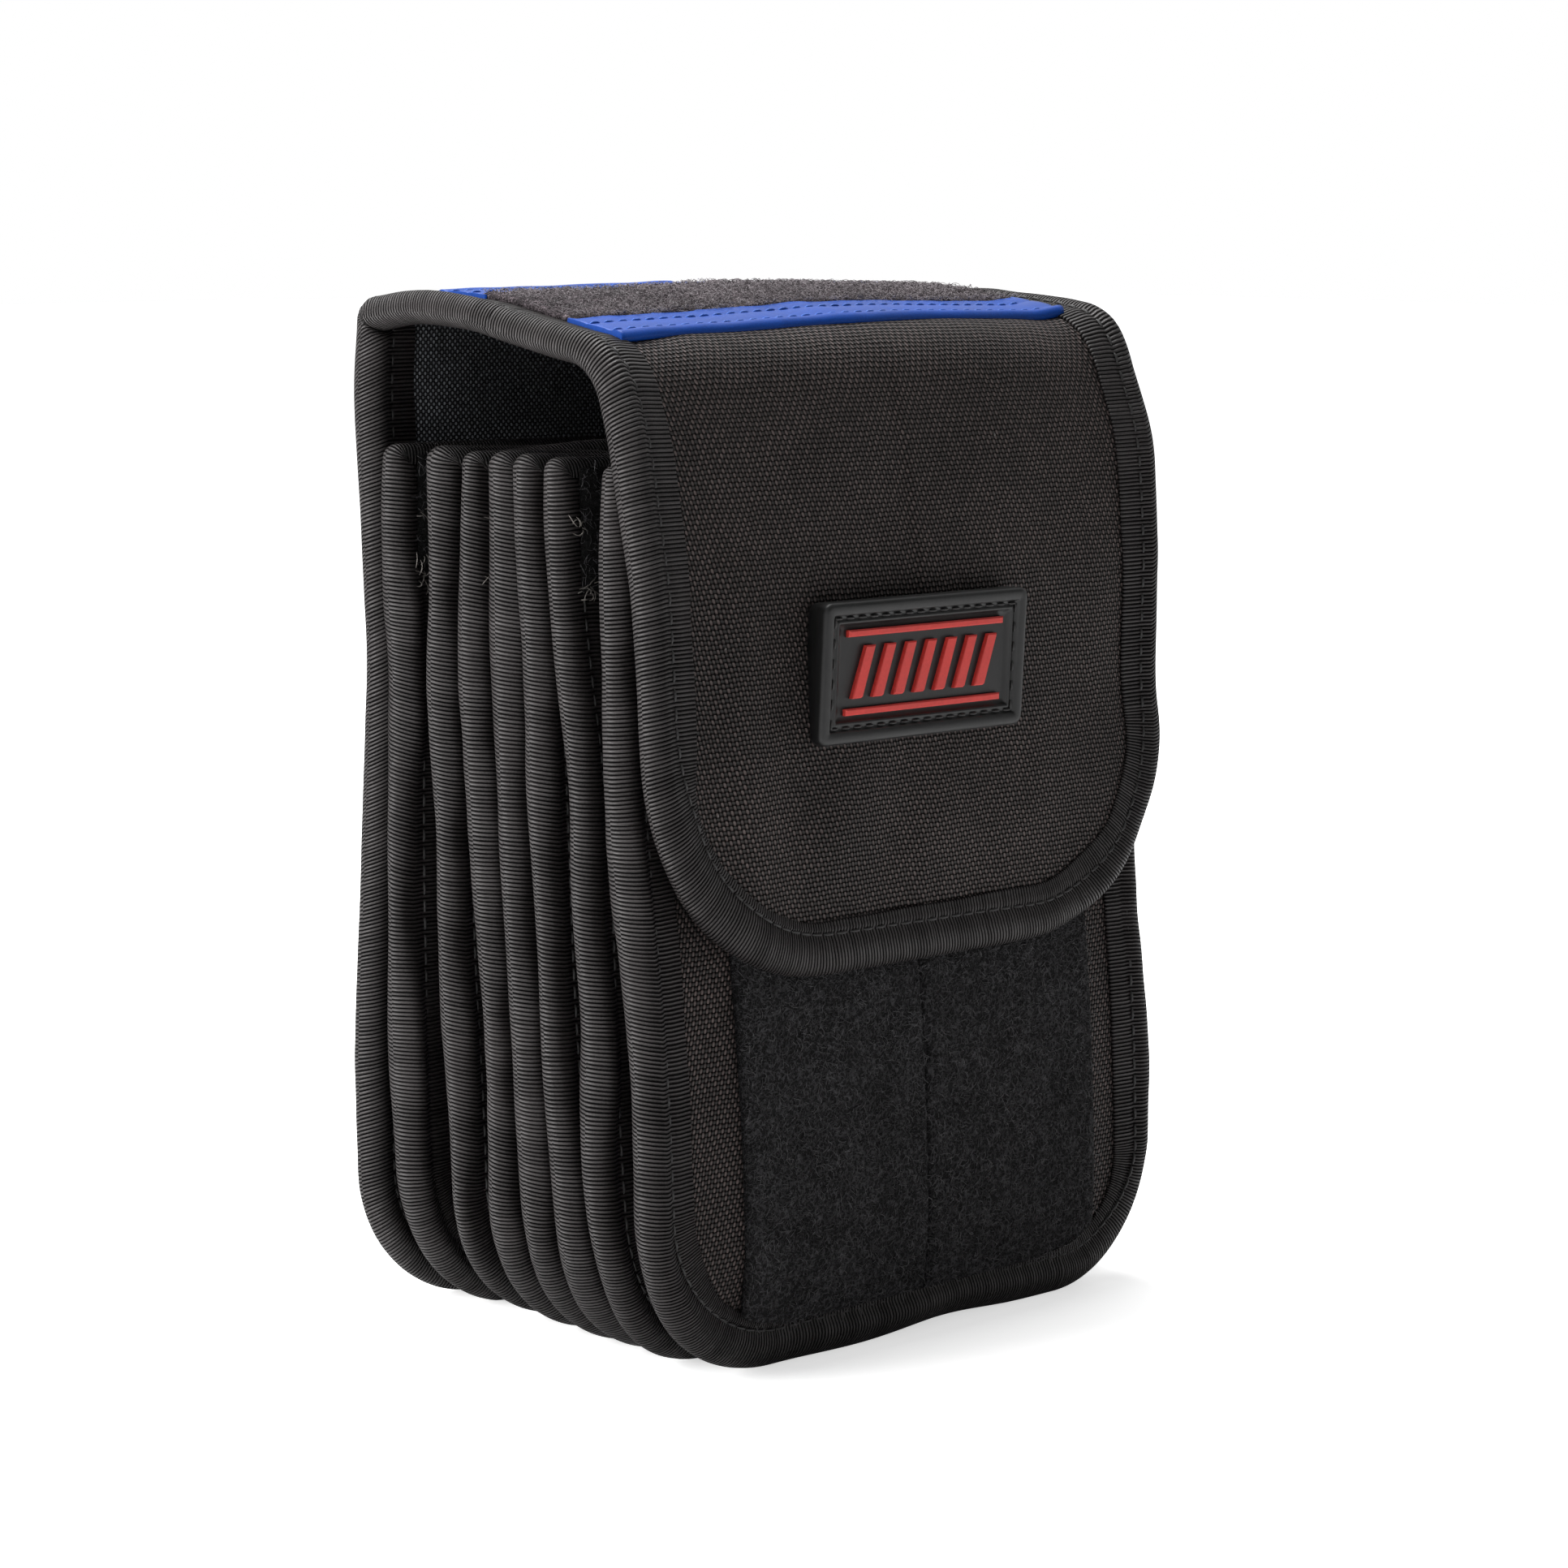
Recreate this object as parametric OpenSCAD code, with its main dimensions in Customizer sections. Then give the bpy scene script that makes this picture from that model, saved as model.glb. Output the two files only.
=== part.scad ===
// Multi-pocket filter pouch: seven padded pockets behind a wrap-over cover.
// Millimetres, +Z up, +Y towards the back. The origin is the middle of the base.

/* [Panels] */
// Width over the bound edges
body_w = 131; // [120:1:145]
// Height of the pocket panels
pocket_h = 160; // [150:1:165]
// Radius of the bottom corners
bottom_r = 26; // [20:1:34]
// Radius of the pocket panels' top corners
top_r = 4; // [3:0.5:8]
// Thickness of a panel between its cloth faces
core_t = 3.6; // [3:0.1:4]
// Thickness of one layer of cloth
cloth_t = 0.4; // [0.3:0.05:0.6]

/* [Binding] */
// Thickness over a bound edge
binding_t = 7.2; // [6.4:0.1:7.6]
// Width of tape on each face of a bound edge
binding_w = 11; // [9:0.5:12]
// Distance from the tape's outer edge to the cloth's cut edge
binding_wrap = 2; // [1.5:0.1:3]

/* [Stack] */
// Pitch of the closely packed pockets
narrow_pitch = 8.6; // [8.4:0.1:9.4]
// Pitch of the looser pockets
medium_pitch = 10; // [9:0.1:11]
// Pitch of the pockets that stand open
wide_pitch = 11.8; // [10:0.1:13]

/* [Cover] */
// Height of the cover over its bound edge
cover_h = 187.4; // [184:0.2:195]
// Radius of the cover's front top corner
front_r = 20; // [12:1:24]
// Radius of the cover's back top corner
back_r = 8; // [8:0.5:12]
// Height of the flap's lower edge above the base
flap_bottom = 69.5; // [60:0.5:80]
// Radius of the flap's lower corners
flap_r = 40; // [35:1:50]
// Distance from the front panel's middle to the flap's middle
flap_offset = 8.2; // [8.1:0.1:9]

/* [Loop and hook tape] */
// Thickness of the loop tape
loop_t = 2.5; // [2:0.1:2.5]
// Thickness of the hook tape
hook_t = 1.8; // [1.5:0.1:1.8]
// Width of one front loop strip
front_loop_w = 45; // [40:1:48]
// Width of the loop strip on the lid
label_w = 25; // [20:1:28]
// Width of each trim band beside the lid's loop strip
trim_w = 12.5; // [10:0.5:13]
// Thickness of a trim band
trim_t = 1; // [0.8:0.1:1.4]
// Height of the closure tabs at the pockets' mouths
tab_h = 21; // [16:1:24]
// Width of a closure tab
tab_w = 14; // [10:1:16]

/* [Badge] */
// Width of the rubber badge
badge_w = 50; // [40:1:60]
// Height of the rubber badge
badge_h = 25; // [20:1:30]
// Thickness of the rubber badge
badge_t = 4.4; // [3:0.1:5]
// Height of the badge's middle above the base
badge_z = 122; // [115:1:130]
// Distance of the badge's middle from the pouch's middle
badge_x = -3; // [-6:0.5:6]

/* [Hidden] */
$fn = 96;
divider_count = 6;
// Pockets closed at the mouth by hook and loop tabs, counted from the back
tab_pockets = [2, 4, 7];
pitches = [narrow_pitch, wide_pitch, medium_pitch, narrow_pitch, narrow_pitch, medium_pitch, wide_pitch];

front_index = divider_count + 1;

// Stack positions along Y
function pitch_sum(k) = k == 0 ? 0 : pitches[k - 1] + pitch_sum(k - 1);
function panel_y(k) = back_y - pitch_sum(k);
total_d = binding_t / 2 + pitch_sum(front_index) + flap_offset + core_t / 2 + badge_t;
back_y = total_d / 2 - binding_t / 2;
front_y = panel_y(front_index);
flap_y = front_y - flap_offset;

// The cover's outer envelope in the YZ plane
cover_front = flap_y - binding_t / 2;
cover_back = back_y + binding_t / 2;
fold_gap = 0.3;
fold_front = [cover_front + front_r, cover_h - front_r];
fold_back = [cover_back - back_r, cover_h - back_r];

// Depth of each layer under that envelope
cloth_in = (binding_t - core_t) / 2;
foam_in = cloth_in + cloth_t;
lining_in = cloth_in + core_t - cloth_t;
lining_out = cloth_in + core_t;
foam_edge = binding_wrap + 2;
body_gap = 0.3;
reach = 400;

// Panels: outlines in the XZ plane, extruded along Y

module along_y(y0, y1) {
    translate([0, y1, 0]) rotate([90, 0, 0]) linear_extrude(y1 - y0) children();
}

module rounded_outline(w, z0, z1, r_low, r_high) {
    for (side = [-1, 1]) {
        translate([side * (w / 2 - r_low), z0 + r_low]) circle(r_low);
        translate([side * (w / 2 - r_high), z1 - r_high]) circle(r_high);
    }
    translate([-w / 2, z0 + r_low]) square([w, z1 - z0 - r_low - r_high]);
    translate([r_low - w / 2, z0]) square([w - 2 * r_low, z1 - z0 - r_high]);
    translate([r_high - w / 2, z0 + r_low]) square([w - 2 * r_high, z1 - z0 - r_low]);
}

module pocket_outline(inset) {
    rounded_outline(body_w - 2 * inset, inset, pocket_h - inset, bottom_r - inset, max(top_r - inset, 0.5));
}

module sheet(y0, y1, inset) {
    along_y(y0, y1) pocket_outline(inset);
}

module panel_cloth(y) {
    sheet(y - core_t / 2, y - core_t / 2 + cloth_t, binding_wrap);
    sheet(y + core_t / 2 - cloth_t, y + core_t / 2, binding_wrap);
}

module panel_foam(y) {
    sheet(y - core_t / 2 + cloth_t, y + core_t / 2 - cloth_t, foam_edge);
}

// A folded tape: a ring with a slot that holds the panel's cut edge
module panel_binding(y) {
    difference() {
        sheet(y - binding_t / 2, y + binding_t / 2, 0);
        sheet(y - binding_t, y + binding_t, binding_w);
        sheet(y - core_t / 2, y + core_t / 2, binding_wrap);
    }
}

// Closure tabs: one at each side of the mouth, let into the bound edge
tab_top = pocket_h - 2;
tab_edge = 1.5;

module tab_pair(y0, y1, clearance) {
    for (side = [-1, 1])
        translate([side * (body_w / 2 - tab_edge - tab_w / 2) - tab_w / 2 - clearance, y0, tab_top - tab_h - clearance])
            cube([tab_w + 2 * clearance, y1 - y0, tab_h + 2 * clearance]);
}

// The hook tab is on the rear wall of pocket k, the loop tab on its front wall
module tab_hook(k, clearance) {
    tab_pair(panel_y(k - 1) - binding_t / 2 - clearance, panel_y(k - 1) - core_t / 2, clearance);
}

module tab_loop(k, clearance) {
    tab_pair(panel_y(k) + core_t / 2, panel_y(k) + binding_t / 2 + clearance, clearance);
}

module tabbed_binding(index) {
    difference() {
        panel_binding(panel_y(index));
        for (k = tab_pockets) {
            if (k - 1 == index) tab_hook(k, 0.05);
            if (k == index) tab_loop(k, 0.05);
        }
    }
}

// Pocket gusset: a strip of cloth round the sides and bottom of pocket k, clear of the panel in front
gusset_inset = binding_w + 0.3;
gusset_t = 0.8;
gusset_top = tab_top - tab_h - 0.5;

module gusset(k) {
    y0 = panel_y(k) + binding_t / 2 + body_gap;
    y1 = panel_y(k - 1) - core_t / 2;
    color([0.06, 0.055, 0.055]) difference() {
        sheet(y0, y1, gusset_inset);
        sheet(y0 - 1, y1 + 1, gusset_inset + gusset_t);
        translate([-body_w, y0 - 1, gusset_top]) cube([2 * body_w, y1 - y0 + 2, pocket_h]);
    }
}

// Cover: layers in the YZ plane, extruded along X and cut at the two folds

module along_x(w) {
    rotate([90, 0, 90]) linear_extrude(w, center = true) children();
}

module cover_half(corner_y, middle_y, r, inset) {
    y0 = min(corner_y, middle_y);
    side = sign(middle_y - corner_y);
    wall_y = corner_y + side * inset;
    arc_y = corner_y + side * r;
    translate([arc_y, cover_h - r]) circle(r - inset);
    translate([min(wall_y, middle_y), -reach]) square([abs(middle_y - wall_y), reach + cover_h - r]);
    translate([min(arc_y, middle_y), 0]) square([abs(middle_y - arc_y), cover_h - inset]);
}

module cover_region(inset) {
    cover_half(cover_front, 0, front_r, inset);
    cover_half(cover_back, 0, back_r, inset);
}

module cover_band(inner, outer) {
    difference() {
        cover_region(inner);
        cover_region(outer);
    }
}

// The 45 degree cut planes pass through the centres of the corner arcs
half_fold = fold_gap / 2 / sqrt(2);
far = 60;

module lid_sector() {
    front = fold_front + [half_fold, half_fold];
    back = fold_back + [-half_fold, half_fold];
    polygon([front, front + [-far, far], back + [far, far], back]);
}

module flap_sector() {
    corner = fold_front - [half_fold, half_fold];
    polygon([corner, corner + [-far, far], corner + [-far, -reach], corner + [0, -reach]]);
}

module back_sector() {
    corner = fold_back + [half_fold, -half_fold];
    polygon([corner, corner + [far, far], corner + [far, -reach], corner + [0, -reach]]);
}

module flap_outline(inset) {
    rounded_outline(body_w - 2 * inset, flap_bottom + inset, reach, flap_r - inset, 1);
}

module back_outline(inset) {
    rounded_outline(body_w - 2 * inset, inset, reach, bottom_r - inset, 1);
}

module lid_outline(inset) {
    rounded_outline(body_w - 2 * inset, -1, reach, 1, 1);
}

// Children: a sector of the cover, then an outline
module cover_piece(inner, outer) {
    intersection() {
        along_x(2 * body_w) intersection() {
            cover_band(inner, outer);
            children(0);
        }
        along_y(-body_w, body_w) children(1);
    }
}

module cover_binding() {
    difference() {
        cover_piece(0, binding_t) { children(0); children(1); }
        along_y(-body_w, body_w) children(2);
        cover_piece(cloth_in, lining_out) { children(0); children(3); }
    }
}

module back_layer(inner, outer, inset) {
    cover_piece(inner, outer) { back_sector(); back_outline(inset); }
}

module lid_layer(inner, outer, inset) {
    cover_piece(inner, outer) { lid_sector(); lid_outline(inset); }
}

module flap_layer(inner, outer, inset) {
    cover_piece(inner, outer) { flap_sector(); flap_outline(inset); }
}

module back_cloth() { color([0.07, 0.06, 0.055]) back_layer(cloth_in, foam_in, binding_wrap); }
module back_foam() { color([0.35, 0.35, 0.36]) back_layer(foam_in, lining_in, foam_edge); }
module back_lining() { color([0.05, 0.05, 0.055]) back_layer(lining_in, lining_out, binding_wrap); }
module back_binding() {
    color([0.09, 0.085, 0.085]) cover_binding() {
        back_sector(); back_outline(0); back_outline(binding_w); back_outline(binding_wrap);
    }
}

module lid_cloth() { color([0.07, 0.06, 0.055]) lid_layer(cloth_in, foam_in, binding_wrap); }
module lid_foam() { color([0.35, 0.35, 0.36]) lid_layer(foam_in, lining_in, foam_edge); }
module lid_lining() { color([0.05, 0.05, 0.055]) lid_layer(lining_in, lining_out, binding_wrap); }
module lid_binding() {
    color([0.09, 0.085, 0.085]) cover_binding() {
        lid_sector(); lid_outline(0); lid_outline(binding_w); lid_outline(binding_wrap);
    }
}

module flap_cloth() { color([0.07, 0.06, 0.055]) flap_layer(cloth_in, foam_in, binding_wrap); }
module flap_foam() { color([0.35, 0.35, 0.36]) flap_layer(foam_in, lining_in, foam_edge); }
module flap_lining() { color([0.05, 0.05, 0.055]) flap_layer(lining_in, lining_out, binding_wrap); }
module flap_binding() {
    color([0.09, 0.085, 0.085]) cover_binding() {
        flap_sector(); flap_outline(0); flap_outline(binding_w); flap_outline(binding_wrap);
    }
}

// Lid trims: loop tape across the middle with a band on each side
lid_face = cover_h - cloth_in;
strip_w = body_w - 2 * binding_w;
label_y = (fold_front[0] + fold_back[0]) / 2 - 1;

module lid_strip(y, w, t) {
    translate([-strip_w / 2, y - w / 2, lid_face]) cube([strip_w, w, t]);
}

module lid_loop_tape() { color([0.12, 0.11, 0.11]) lid_strip(label_y, label_w, loop_t); }
module lid_trim_front() { color([0.02, 0.09, 0.55]) lid_strip(label_y - (label_w + trim_w) / 2, trim_w, trim_t); }
module lid_trim_rear() { color([0.02, 0.09, 0.55]) lid_strip(label_y + (label_w + trim_w) / 2, trim_w, trim_t); }

// Hook tape inside the flap, facing the front panel's loop strips
hook_w = 88;
hook_z = [95, 135];
loop_x = 2;

module flap_hook_tape() {
    y0 = flap_y + core_t / 2;
    color([0.08, 0.08, 0.08]) translate([loop_x - hook_w / 2, y0, hook_z[0]])
        cube([hook_w, hook_t, hook_z[1] - hook_z[0]]);
}

// Front loop strips, side by side, trimmed to the binding's inner edge
loop_z = [binding_w + 0.2, pocket_h - binding_w - 0.5];
loop_seam = 0.3;

module front_loop(side) {
    y1 = front_y - core_t / 2;
    x0 = side < 0 ? loop_x - front_loop_w : loop_x + loop_seam;
    color([0.03, 0.03, 0.03]) intersection() {
        translate([x0, y1 - loop_t, loop_z[0]]) cube([front_loop_w, loop_t, loop_z[1] - loop_z[0]]);
        sheet(y1 - 2 * loop_t, y1 + 1, binding_w + 0.2);
    }
}

module front_loop_left() { front_loop(-1); }
module front_loop_right() { front_loop(1); }

// Badge: a rubber moulding with a raised rim, a stitch groove and a recessed panel
badge_face = flap_y - core_t / 2 - badge_t;
rim_w = 2.2;
groove_w = 1.2;
groove_depth = 0.7;
panel_depth = 1.1;
panel_inset = rim_w + groove_w;

module badge_slab(inset, depth0, depth1) {
    r = max(1.6 - inset, 0.4);
    w = badge_w - 2 * inset;
    h = badge_h - 2 * inset;
    translate([badge_x, 0, badge_z - h / 2]) along_y(badge_face + depth0, badge_face + depth1)
        rounded_outline(w, 0, h, r, r);
}

module badge_base() {
    color([0.05, 0.05, 0.05]) difference() {
        badge_slab(0, 0, badge_t);
        badge_slab(rim_w, -1, groove_depth);
        badge_slab(panel_inset, -1, panel_depth);
    }
}

// Emblem: a bar above and below a row of slanted stripes
emblem_h = 0.9;
bar_w = 38;
bar_h = 1.2;
bar_z = 7.4;
stripe_count = 7;
stripe_w = 2.2;
stripe_h = 9.6;
stripe_lean = 3;
stripe_pitch = 5;

module emblem_outline() {
    for (side = [-1, 1]) translate([-bar_w / 2, side * bar_z - bar_h / 2]) square([bar_w, bar_h]);
    for (i = [0 : stripe_count - 1]) {
        x0 = (i - (stripe_count - 1) / 2) * stripe_pitch - stripe_w / 2;
        lean = stripe_lean / 2;
        polygon([
            [x0 - lean, -stripe_h / 2], [x0 + stripe_w - lean, -stripe_h / 2],
            [x0 + stripe_w + lean, stripe_h / 2], [x0 + lean, stripe_h / 2]
        ]);
    }
}

module badge_emblem() {
    y1 = badge_face + panel_depth;
    color([0.8, 0.08, 0.07]) translate([badge_x, 0, badge_z]) along_y(y1 - emblem_h, y1) emblem_outline();
}

// Stitches: short threads lying in the groove
stitch_l = 2.2;
stitch_d = 0.6;
stitch_gap = 1;

module stitch_row(length) {
    count = floor(length / (stitch_l + stitch_gap));
    for (i = [0 : count - 1])
        translate([(i - (count - 1) / 2) * (stitch_l + stitch_gap), 0, 0])
            rotate([0, 90, 0]) cylinder(h = stitch_l, d = stitch_d, center = true, $fn = 16);
}

module badge_stitching() {
    middle = rim_w + groove_w / 2;
    row_y = badge_face + groove_depth - stitch_d / 2;
    color([0.03, 0.03, 0.03]) translate([badge_x, row_y, badge_z]) for (side = [-1, 1]) {
        translate([0, 0, side * (badge_h / 2 - middle)]) stitch_row(badge_w - 2 * middle);
        translate([side * (badge_w / 2 - middle), 0, 0]) rotate([0, 90, 0]) stitch_row(badge_h - 2 * middle - 2);
    }
}

module divider_cloth(k) { color([0.07, 0.06, 0.055]) panel_cloth(panel_y(k)); }
module divider_foam(k) { color([0.35, 0.35, 0.36]) panel_foam(panel_y(k)); }
module divider_binding(k) { color([0.10 + 0.01 * (k % 2), 0.095, 0.095]) tabbed_binding(k); }
module front_cloth() { color([0.07, 0.06, 0.055]) panel_cloth(front_y); }
module front_foam() { color([0.35, 0.35, 0.36]) panel_foam(front_y); }
module front_binding() { color([0.09, 0.085, 0.085]) tabbed_binding(front_index); }

back_cloth();
back_foam();
back_lining();
back_binding();
lid_cloth();
lid_foam();
lid_lining();
lid_binding();
lid_loop_tape();
lid_trim_front();
lid_trim_rear();
flap_cloth();
flap_foam();
flap_lining();
flap_binding();
flap_hook_tape();
badge_base();
badge_emblem();
badge_stitching();
for (k = [1 : divider_count]) {
    divider_cloth(k);
    divider_foam(k);
    divider_binding(k);
}
front_cloth();
front_foam();
front_binding();
front_loop_left();
front_loop_right();
for (k = tab_pockets) {
    color([0.05, 0.05, 0.05]) tab_hook(k, 0);
    color([0.03, 0.03, 0.03]) tab_loop(k, 0);
}
for (k = [1 : front_index]) {
    gusset(k);
}
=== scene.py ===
"""Looks of the filter pouch: padded cloth panels, bound edges, loop pile, trims and badge.

Lengths are millimetres until a mesh is made. A panel is laid out flat first, as (x, s, n): x across,
s along its length and n out of its face. A mapper then places it: one for each upright panel, and
one that wraps the cover up the back, over the lid and down the flap.
"""
import math

import bmesh
import bpy
import numpy as np
from mathutils import Matrix, Vector


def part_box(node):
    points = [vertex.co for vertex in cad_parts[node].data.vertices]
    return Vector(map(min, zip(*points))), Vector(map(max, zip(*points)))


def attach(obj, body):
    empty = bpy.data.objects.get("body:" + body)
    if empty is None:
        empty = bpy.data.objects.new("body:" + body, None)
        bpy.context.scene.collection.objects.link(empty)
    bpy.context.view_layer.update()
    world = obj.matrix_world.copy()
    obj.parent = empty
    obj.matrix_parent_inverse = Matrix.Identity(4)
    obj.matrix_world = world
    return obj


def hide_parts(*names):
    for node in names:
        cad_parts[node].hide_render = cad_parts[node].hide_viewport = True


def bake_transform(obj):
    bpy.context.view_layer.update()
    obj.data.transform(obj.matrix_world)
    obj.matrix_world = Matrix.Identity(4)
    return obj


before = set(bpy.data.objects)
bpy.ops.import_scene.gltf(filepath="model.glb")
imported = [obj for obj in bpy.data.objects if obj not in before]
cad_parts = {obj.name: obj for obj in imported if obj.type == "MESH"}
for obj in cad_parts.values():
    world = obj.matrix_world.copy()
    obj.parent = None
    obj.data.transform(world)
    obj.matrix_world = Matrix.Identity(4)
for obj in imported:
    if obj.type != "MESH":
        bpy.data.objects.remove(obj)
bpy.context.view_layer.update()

MM = 0.001


def cad(node):
    """A CAD node's lowest and highest corners, in millimetres."""
    low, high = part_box(node)
    return np.array(low) / MM, np.array(high) / MM


# ---------------------------------------------------------------- sizes from the frame
POCKETS = 7
FRONT = POCKETS
PANEL_LOW, PANEL_HIGH = cad("front_binding")
WIDTH = PANEL_HIGH[0] - PANEL_LOW[0]
PANEL_H = PANEL_HIGH[2]
CORE_T = cad("front_cloth")[1][1] - cad("front_cloth")[0][1]
CLOTH_T = 0.4
PANEL_NODES = [f"divider_{k}" for k in range(1, POCKETS)] + ["front"]
PANEL_BODIES = [f"divider_{k}" for k in range(1, POCKETS)] + ["front_panel"]
# The middle of each panel, back to front; the back foam's box also holds its curved top
PANEL_Y = [cad("back_foam")[0][1] + (CORE_T - 2 * CLOTH_T) / 2]
PANEL_Y += [(cad(f"{name}_cloth")[0][1] + cad(f"{name}_cloth")[1][1]) / 2 for name in PANEL_NODES]
FLAP_LOW = cad("flap_binding")[0][2]
COVER_TOP = cad("lid_binding")[1][2]
FLAP_Y = cad("flap_hook_tape")[0][1] - CORE_T / 2

# ---------------------------------------------------------------- sizes from the photograph
# Radii of the bottom corners, of the panels' top corners and of the flap's lower corners
BACK_R = 26.0
DIVIDER_R = 29.0
FRONT_R = 32.0
TOP_R = 2.5
FLAP_R = 40.0
# The cover's sides bend and twist more towards this distance from its middle
SIDE_X = 66.0
# The folded tape's width on each face, how far in it is sewn and how far out its stitches lie
TAPE_W = 11.0
SEAM_IN = 5.5
SEAM_N = 2.62
# How far in from the outer edge a pad ends, inside its tape
PAD_IN = 3.0
# The front panel's roll of tape is wider by this share at its base. So is the flap's at its lower edge,
# more at the left and less at the right
FRONT_FOLD = 0.32
FLAP_FOLD_WIDE, FLAP_FOLD_SKEW = 0.28, 0.16
# How far the ribs of the cover's tape are dragged along it, for each millimetre round its roll
TAPE_DRAG = -0.24
STITCH_PITCH = 3.2
STITCH_L = 2.3
STITCH_R = 0.27
# A gusset stops this far from a panel's face
GUSSET_GAP = 0.8
# A tab runs between these two distances in from the outer end of its CAD node
TAB_IN, TAB_END = 3.5, 14.0
# The lid's trims are sewn on further back than the CAD's, more so at the right
LABEL_BACK = 3.0
LABEL_ASKEW = 0.03

# ---------------------------------------------------------------- repeatable randomness


def waves(t, seed, length, count=5):
    """A smooth wandering line from about -1 to 1, with bends about `length` apart."""
    rng = np.random.default_rng(seed)
    total = np.zeros(np.shape(t))
    for _ in range(count):
        total += np.sin(2 * np.pi * np.asarray(t) / (length * rng.uniform(0.7, 1.9)) + rng.uniform(0, 6.3))
    return total / math.sqrt(count) / 1.3


def ripples(x, s, seed, length, count=7, stretch=1.0):
    """A smooth bumpy surface from about -1 to 1; stretch above 1 draws the bumps out along s."""
    rng = np.random.default_rng(seed)
    total = np.zeros(np.broadcast(x, s).shape)
    for _ in range(count):
        turn, wave = rng.uniform(0, np.pi), length * rng.uniform(0.7, 1.8)
        along = x * math.cos(turn) + s * math.sin(turn) / stretch
        total += np.sin(2 * np.pi * along / wave + rng.uniform(0, 6.3))
    return total / math.sqrt(count) / 1.3


def ease(t):
    """A smooth step from 0 to 1 as t goes from 0 to 1."""
    t = np.clip(t, 0, 1)
    return t * t * (3 - 2 * t)


# ---------------------------------------------------------------- where flat layouts go

# How far the front of the stack moves back at its mouth and forward at its base, at each side of the pouch
LEFT_BASE, LEFT_MOUTH = -5.8, 4.6
RIGHT_BASE, RIGHT_MOUTH = -1.0, 6.0
LEFT_TUCK, RIGHT_TUCK = 2.9, 0.9
# How far panel 1 lies back against the cover, and panels 5 and 6 lean back at the mouth
HUG = 2.6
MOUTH_EXTRA = {5: 0.8, 6: 2.2}


def stack_shift(index, x, z):
    """The stack is pinched at the mouth and splays at the left of its base; panel 1 hugs the back."""
    z = np.asarray(z)
    share = 1.04 - 1.5 * math.exp(-index / 2)
    left = LEFT_BASE + (LEFT_MOUTH - LEFT_BASE) * ease((z - 8) / 135) + LEFT_TUCK * (1 - ease(z / 26))
    right = RIGHT_BASE + (RIGHT_MOUTH - RIGHT_BASE) * ease((z - 18) / 100) + RIGHT_TUCK * (1 - ease(z / 20))
    side = np.clip(np.asarray(x) / WIDTH + 0.5, 0, 1)
    extra = MOUTH_EXTRA.get(index, 0) * ease((z - 100) / 50)
    return share * (left * (1 - side) + right * side) + extra + (HUG if index == 1 else 0)


def upright(index):
    """The mapper of an upright panel. Its face, +n, is towards the flap."""
    y = PANEL_Y[index]
    sway = 0.8 if 0 < index < FRONT else 0.3

    def place(x, s, n):
        z = np.asarray(s, float)
        wander = sway * waves(z, 40 + index, 75) * np.clip(z / 30, 0, 1)
        return np.stack(np.broadcast_arrays(x, y - n + stack_shift(index, x, z) + wander, z), -1)

    return place


def rounded_path(corners, radii, step):
    """A line through the corners, rounded at the inner ones, as points about `step` apart."""
    points = [np.array(corners[0], float)]
    for before, corner, after, r in zip(corners, corners[1:], corners[2:], radii):
        before, corner, after = (np.array(p, float) for p in (before, corner, after))
        a, b = before - corner, after - corner
        a, b = a / np.linalg.norm(a), b / np.linalg.norm(b)
        half = math.acos(np.clip(a @ b, -1, 1)) / 2
        reach = r / math.tan(half)
        centre = corner + (a + b) / np.linalg.norm(a + b) * r / math.sin(half)
        start, end = corner + a * reach, corner + b * reach
        for t in np.linspace(0, 1, max(4, int(r * (math.pi - 2 * half) / step))):
            p = start * (1 - t) + end * t - centre
            points.append(centre + p / np.linalg.norm(p) * r)
    points.append(np.array(corners[-1], float))
    points = np.array(points)
    along = np.r_[0, np.cumsum(np.linalg.norm(np.diff(points, axis=0), axis=1))]
    even = np.r_[np.arange(0, along[-1], step), along[-1]]
    return np.stack([np.interp(even, along, points[:, i]) for i in (0, 1)], -1), even


# The cover's middle line, up the back, forward over the lid and down the flap, as (y, z) and the
# rounding at each bend
LID_BACK_Z = COVER_TOP - 3.4
BACK_FOLD_R = 2.2
COVER_BENDS = [
    ((PANEL_Y[0] + 4.0, 0), 0), ((PANEL_Y[0] + 5.2, 46), 60), ((PANEL_Y[0] + 0.9, 122), 110),
    ((PANEL_Y[0] + 4.7, LID_BACK_Z), BACK_FOLD_R), ((12, LID_BACK_Z - 0.7), 60),
    ((-22.4, LID_BACK_Z - 6.3), 13),
    ((-27.6, 162), 40), ((-31.6, 138), 60), ((-33.0, 112), 70), ((FLAP_Y + 1.4, FLAP_LOW), 0),
]
COVER_LINE, COVER_S = rounded_path([at for at, _ in COVER_BENDS], [r for _, r in COVER_BENDS[1:-1]], 0.5)
COVER_L = COVER_S[-1]
COVER_DIR = np.gradient(COVER_LINE, COVER_S, axis=0)
COVER_DIR /= np.linalg.norm(COVER_DIR, axis=1)[:, None]
COVER_OUT = np.stack([COVER_DIR[:, 1], -COVER_DIR[:, 0]], -1)


def at_s(values, s):
    """A pair of the cover's values, such as its line's y and z, at a distance along it."""
    return [np.interp(s, COVER_S, values[:, i]) for i in (0, 1)]


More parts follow.
